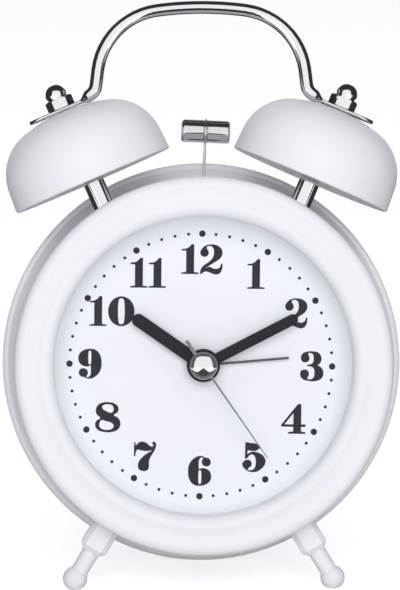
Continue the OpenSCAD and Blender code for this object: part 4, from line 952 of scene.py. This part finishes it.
# Outlines of the numerals, one unit tall from the base line. A point with a third value is a corner.
NUMERALS = {
    "1": [[(-.285, 0, 1), (.285, 0, 1), (.285, .03, 1), (.125, .05, 1), (.125, 1, 1), (.05, 1, 1),
           (-.03, .91), (-.14, .85), (-.285, .835, 1), (-.285, .80, 1), (-.125, .80, 1), (-.125, .05, 1),
           (-.285, .03, 1)]],
    "2": [[(-.37, .72), (-.31, .86), (-.19, .96), (.01, 1), (.26, .93), (.37, .75), (.31, .56), (.13, .42),
           (-.12, .26), (-.18, .20), (-.09, .235), (.06, .18), (.21, .17), (.30, .22), (.345, .34, 1),
           (.375, .34, 1), (.355, .15), (.27, .02), (.13, -.005), (-.03, .05), (-.17, .09), (-.29, .05),
           (-.33, 0, 1), (-.37, 0, 1), (-.35, .15), (-.25, .28), (-.06, .42), (.06, .56), (.10, .75),
           (.05, .92), (-.03, .965), (-.14, .945), (-.17, .88), (-.11, .78), (-.12, .66), (-.21, .595),
           (-.32, .62)]],
    "3": [[(-.365, .79), (-.315, .92), (-.175, .985), (.025, 1), (.225, .95), (.32, .78), (.265, .60),
           (.165, .535, 1), (.305, .46), (.39, .28), (.325, .09), (.125, 0), (-.095, .005), (-.295, .06),
           (-.385, .20), (-.365, .32), (-.255, .37), (-.145, .34), (-.105, .23), (-.145, .13), (-.155, .075),
           (-.055, .04), (.045, .08), (.105, .26), (.065, .44), (-.035, .50), (-.145, .51, 1),
           (-.145, .545, 1), (-.035, .56), (.045, .62), (.07, .78), (.035, .92), (-.055, .962), (-.135, .94),
           (-.125, .88), (-.09, .79), (-.125, .68), (-.235, .64), (-.335, .68)]],
    "4": [[(-.18, 0, 1), (.40, 0, 1), (.40, .035, 1), (.25, .06, 1), (.25, .24, 1), (.40, .24, 1),
           (.40, .30, 1), (.25, .30, 1), (.25, 1, 1), (.15, 1, 1), (-.41, .30, 1), (-.41, .24, 1),
           (0, .24, 1), (0, .06, 1), (-.18, .035, 1)],
          [(-.335, .30, 1), (0, .30, 1), (0, .72, 1)]],
    "5": [[(-.29, 1, 1), (.075, .955, 1), (.195, .82, 1), (.07, .735), (-.06, .72), (-.225, .755, 1),
           (-.24, .565, 1), (-.15, .64), (-.03, .675), (.15, .64), (.32, .53), (.387, .345), (.24, .10),
           (-.06, -.005), (-.31, .11), (-.387, .25), (-.33, .36), (-.225, .40), (-.12, .36), (-.085, .27),
           (-.12, .18), (-.175, .145), (-.215, .085), (-.11, .04), (.02, .11), (.075, .335), (.045, .505),
           (-.045, .60), (-.16, .565), (-.255, .46), (-.30, .45, 1)]],
    "6": [[(.21, .94), (.03, 1), (-.19, .92), (-.35, .72), (-.39, .46), (-.34, .20), (-.19, .03), (0, -.005),
           (.21, .04), (.355, .17), (.385, .32), (.33, .48), (.19, .57), (.06, .575), (-.035, .53, 1),
           (-.045, .70), (-.03, .88), (.03, .955), (.11, .955), (.125, .92), (.085, .86), (.08, .77),
           (.15, .68), (.27, .67), (.355, .74), (.35, .86), (.29, .925)],
          [(-.052, .43), (-.04, .50), (.006, .53), (.05, .50), (.062, .43), (.062, .13), (.05, .065),
           (.006, .035), (-.04, .065), (-.052, .13)]],
    "7": [[(-.365, .96, 1), (-.335, .96, 1), (-.315, .86), (-.265, .90), (-.145, .98), (.03, .95), (.19, .83),
           (.27, .83), (.30, .90), (.255, .93), (.295, .985), (.365, .94), (.37, .85), (.335, .73),
           (.215, .52), (.135, .33), (.13, .12), (.075, .02), (-.045, -.005), (-.175, .04), (-.225, .15),
           (-.195, .30), (-.065, .47), (.135, .62), (.235, .685), (.085, .68), (-.115, .70), (-.265, .72),
           (-.31, .66), (-.335, .50, 1), (-.365, .50, 1)]],
    "8": [[(.01, 1), (.23, .95), (.355, .80), (.32, .665), (.20, .575), (.34, .47), (.425, .28), (.35, .09),
           (.13, -.005), (-.12, -.005), (-.34, .07), (-.42, .22), (-.37, .37), (-.25, .46), (-.37, .59),
           (-.40, .75), (-.32, .91), (-.16, .985)],
          [(.01, .945), (.16, .90), (.21, .78), (.18, .67), (.08, .635), (-.06, .69), (-.18, .77),
           (-.205, .86), (-.12, .93)],
          [(-.22, .40), (-.06, .365), (.13, .31), (.215, .21), (.18, .11), (.03, .05), (-.15, .06),
           (-.275, .14), (-.29, .29)]],
    "0": [[(0, 1), (.17, .96), (.31, .86), (.405, .70), (.44, .50), (.405, .30), (.31, .14), (.17, .04),
           (0, 0), (-.17, .04), (-.31, .14), (-.405, .30), (-.44, .50), (-.405, .70), (-.31, .86),
           (-.17, .96)],
          [(0, .955), (.075, .925), (.105, .84), (.105, .16), (.075, .075), (0, .045), (-.075, .075),
           (-.105, .16), (-.105, .84), (-.075, .925)]],
}
NUMERALS["9"] = [[(-p[0], 1 - p[1], *p[2:]) for p in outline] for outline in NUMERALS["6"]]
NUMERAL_GAP = 0.05

# How far some numerals sit to the right of their place on the ring, in millimetres
NUDGES = {"1": -0.3, "2": -0.3, "4": -0.6, "5": -0.3, "7": 0.1, "8": 0.8, "10": 1.5, "11": 0.4}


class CLOCK_OT_print(Operator):
    """Prints the dots and the numerals on the dial"""
    bl_idname = "clock.print"
    bl_label = "Dial print"

    def execute(self, context):
        sizes = context.scene.clock_print
        face = (DIAL_PLACE @ Matrix.Translation((sizes.shift, depth_of("dial")[0], 0))
                @ Matrix.Rotation(sizes.turned, 4, "Y"))
        dots = []
        for every, width in ((1, sizes.minute_dot), (5, sizes.hour_dot)):
            dot = self.dot(width / 2, sizes.ink)
            for minute in range(60):
                if (minute % 5 == 0) == (every == 5):
                    turned = copy_piece(dot, "dot")
                    angle = math.radians(6 * minute)
                    turned.location = (sizes.track * math.sin(angle), 0, sizes.track * math.cos(angle))
                    dots.append(turned)
            bpy.data.objects.remove(dot)
        track = merge_pieces(dots)
        bpy.ops.object.transform_apply(location=True)
        track.name = "minute_track"
        settle(track, face, "ink")
        digits = {mark: self.digit(mark, sizes) for mark in NUMERALS}
        for hour in range(1, 13):
            self.numeral(str(hour), digits, sizes, face, math.radians(30 * hour))
        for digit in digits.values():
            bpy.data.objects.remove(digit)
        return {"FINISHED"}

    def dot(self, radius, ink):
        """A thin disc that stands on the dial."""
        deselect_all()
        bpy.ops.mesh.primitive_circle_add(vertices=32, radius=radius, fill_type="NGON",
                                          rotation=(math.pi / 2, 0, 0))
        bpy.ops.object.transform_apply(rotation=True)
        bpy.ops.object.mode_set(mode="EDIT")
        bpy.ops.mesh.select_all(action="SELECT")
        bpy.ops.mesh.extrude_region_move(TRANSFORM_OT_translate={"value": (0, -ink, 0)})
        close_up()
        return bpy.context.object

    def digit(self, mark, sizes):
        """One digit drawn as a filled curve and made a mesh of the ink's thickness."""
        curve = bpy.data.curves.new("digit_" + mark, "CURVE")
        curve.dimensions = "2D"
        curve.fill_mode = "BOTH"
        curve.resolution_u = 6
        curve.offset = sizes.bold
        body = sizes.numeral - 2 * sizes.bold
        for outline in NUMERALS[mark]:
            spline = curve.splines.new("BEZIER")
            spline.bezier_points.add(len(outline) - 1)
            spline.use_cyclic_u = True
            for point, place in zip(spline.bezier_points, outline):
                point.co = (place[0] * body, (place[1] - 0.5) * body, 0)
                kind = "VECTOR" if len(place) == 3 else "AUTO"
                point.handle_left_type = point.handle_right_type = kind
        curve.extrude = sizes.ink / 2
        piece = bpy.data.objects.new("digit_" + mark, curve)
        bpy.context.scene.collection.objects.link(piece)
        select_only(piece)
        bpy.ops.object.convert(target="MESH")
        bpy.ops.object.mode_set(mode="EDIT")
        close_up()
        return piece

    def numeral(self, text, digits, sizes, face, angle):
        """Sets one or two digits side by side at their hour."""
        widths = [max(p[0] for p in NUMERALS[mark][0]) * 2 * sizes.numeral for mark in text]
        start = -(sum(widths) + NUMERAL_GAP * sizes.numeral * (len(text) - 1)) / 2
        pieces = []
        for mark, width in zip(text, widths):
            piece = copy_piece(digits[mark], "digit")
            piece.location = (start + width / 2, 0, 0)
            start += width + NUMERAL_GAP * sizes.numeral
            pieces.append(piece)
        numeral = merge_pieces(pieces)
        bpy.ops.object.transform_apply(location=True)
        numeral.name = "numeral_" + text
        right = math.sin(angle) * sizes.ring_wide + NUDGES.get(text, 0) * MM
        up = math.cos(angle) * sizes.ring
        place = face @ Matrix.Translation((right, -sizes.ink / 2, up)) @ Matrix.Rotation(math.pi / 2, 4, "X")
        settle(numeral, place, "ink")


# The lamps, with the setting for their power, their width and their place from the aim in metres
LAMPS = {
    "key_light": ("key", 1.1, (0.0, -1.2, 0.45)),
    "top_light": ("top", 0.7, (0.0, 0.05, 1.0)),
    "fill_light": ("fill", 0.6, (0.9, -0.6, 0.35)),
}

# The cards that only reflections see, with their place, their two widths in metres and their turn
FLAT = (0, 0, 0)
UPRIGHT = (0, math.pi / 2, 0)
CARD_LIFT = 0.5 * MM
CARDS = {
    "left_card": ((-0.32, 0.12, 0.45), (0.9, 0.76), UPRIGHT),
    "right_card": ((0.32, 0.12, 0.45), (0.9, 0.76), UPRIGHT),
    "top_card": ((0, 0.12, 0.5), (0.64, 0.76), FLAT),
    "low_card": ((0, 0.2, CARD_LIFT), (0.64, 0.6), FLAT),
    "front_card": ((0, -0.55, CARD_LIFT), (0.11, 0.9), FLAT),
}


def seen_white(tree):
    """A socket that is one for rays from the camera, a reflection or the glass."""
    path = tree.nodes.new("ShaderNodeLightPath")
    seen = path.outputs["Is Camera Ray"]
    for name in ("Is Glossy Ray", "Is Transmission Ray"):
        both = tree.nodes.new("ShaderNodeMath")
        both.operation = "MAXIMUM"
        tree.links.new(seen, both.inputs[0])
        tree.links.new(path.outputs[name], both.inputs[1])
        seen = both.outputs[0]
    return seen


class CLOCK_OT_stage(Operator):
    """Sets the floor, the light and the camera"""
    bl_idname = "clock.stage"
    bl_label = "Stage"

    def execute(self, context):
        stage = context.scene.clock_stage
        self.floor(stage)
        self.world(stage)
        target = DIAL_PLACE @ Vector((stage.aim_right, stage.aim_depth, stage.aim_up))
        self.camera(stage, target)
        for name, (power, size, away) in LAMPS.items():
            self.lamp(name, getattr(stage, power), size, target + Vector(away), target)
        self.cards(stage)
        context.scene.view_settings.view_transform = "Standard"
        return {"FINISHED"}

    def floor(self, stage):
        """A plain pale floor that is white to the camera and keeps the shadow."""
        deselect_all()
        bpy.ops.mesh.primitive_plane_add(size=stage.floor_size)
        floor = bpy.context.object
        floor.name = "floor"
        finish = Finish("pale_floor")
        seen = Field(finish, seen_white(finish.tree))
        glow = finish.blend(seen, (0, 0, 0, 1), (*[stage.floor_glow] * 3, 1))
        finish.surface(Base_Color=(*stage.floor, 1), Roughness=0.9, Emission_Color=glow, Emission_Strength=1)
        floor.data.materials.append(finish.material)

    def world(self, stage):
        """Even light all round, white where it is seen."""
        world = bpy.data.worlds.new("studio")
        world.use_nodes = True
        tree = world.node_tree
        background = tree.nodes["Background"]
        mix = tree.nodes.new("ShaderNodeMixRGB")
        mix.inputs["Color1"].default_value = (*stage.sky, 1)
        mix.inputs["Color2"].default_value = (1, 1, 1, 1)
        tree.links.new(seen_white(tree), mix.inputs["Fac"])
        tree.links.new(mix.outputs["Color"], background.inputs["Color"])
        background.inputs["Strength"].default_value = 1
        bpy.context.scene.world = world

    def lamp(self, name, power, size, place, target):
        """A square soft light aimed at the clock."""
        deselect_all()
        bpy.ops.object.light_add(type="AREA", location=place)
        lamp = bpy.context.object
        lamp.name = name
        lamp.data.energy = power
        lamp.data.size = size
        lamp.rotation_euler = (target - place).to_track_quat("-Z", "Y").to_euler()
        lamp.visible_glossy = False

    def cards(self, stage):
        """Dark cards round the clock and on the floor, which only reflections see."""
        finish = Finish("dark_card")
        finish.surface(Base_Color=(*stage.card, 1), Roughness=1.0, Specular_IOR_Level=0.0)
        for name, (place, size, turned) in CARDS.items():
            deselect_all()
            bpy.ops.mesh.primitive_plane_add(size=1, location=place, rotation=turned)
            card = bpy.context.object
            card.name = name
            card.scale = (*size, 1)
            card.visible_camera = card.visible_diffuse = False
            card.visible_transmission = card.visible_shadow = False
            card.data.materials.append(finish.material)

    def camera(self, stage, target):
        """The photograph's view."""
        level = math.cos(stage.elevation)
        away = Vector((-math.sin(stage.azimuth) * level, -math.cos(stage.azimuth) * level,
                       math.sin(stage.elevation)))
        place = target + away * stage.distance
        bpy.ops.object.camera_add(location=place, rotation=(-away).to_track_quat("-Z", "Y").to_euler())
        camera = bpy.context.object
        camera.data.sensor_fit = "VERTICAL"
        camera.data.angle = 2 * math.atan(stage.frame_height / 2 / stage.distance)
        camera.data.clip_start = NEAREST_SEEN
        bpy.context.scene.camera = camera


STEPS = (CLOCK_OT_finishes, CLOCK_OT_bezel, CLOCK_OT_drum, CLOCK_OT_lens, CLOCK_OT_print, CLOCK_OT_hands,
         CLOCK_OT_feet, CLOCK_OT_bells, CLOCK_OT_posts, CLOCK_OT_handle, CLOCK_OT_hammer, CLOCK_OT_stage)


class CLOCK_PT_parts(Panel):
    """Lists the steps that build the clock"""
    bl_idname = "CLOCK_PT_parts"
    bl_label = "Alarm clock"
    bl_space_type = "VIEW_3D"
    bl_region_type = "UI"
    bl_category = "Clock"

    def draw(self, context):
        for step in STEPS:
            self.layout.operator(step.bl_idname)


def register():
    """Registers the settings, the steps and the panel."""
    for kind in (*GROUPS.values(), *STEPS, CLOCK_PT_parts):
        bpy.utils.register_class(kind)
    for name, group in GROUPS.items():
        setattr(bpy.types.Scene, name, PointerProperty(type=group))


def unregister():
    """Takes the panel, the steps and the settings off again."""
    for name in GROUPS:
        delattr(bpy.types.Scene, name)
    for kind in (CLOCK_PT_parts, *reversed(STEPS), *GROUPS.values()):
        bpy.utils.unregister_class(kind)


def main():
    """Builds the clock step by step."""
    register()
    bpy.ops.clock.finishes()
    bpy.ops.clock.bezel()
    bpy.ops.clock.drum()
    bpy.ops.clock.lens()
    bpy.ops.clock.print()
    bpy.ops.clock.hands()
    bpy.ops.clock.feet()
    bpy.ops.clock.bells()
    bpy.ops.clock.posts()
    bpy.ops.clock.handle()
    bpy.ops.clock.hammer()
    bpy.ops.clock.stage()


if __name__ == "__main__":
    main()
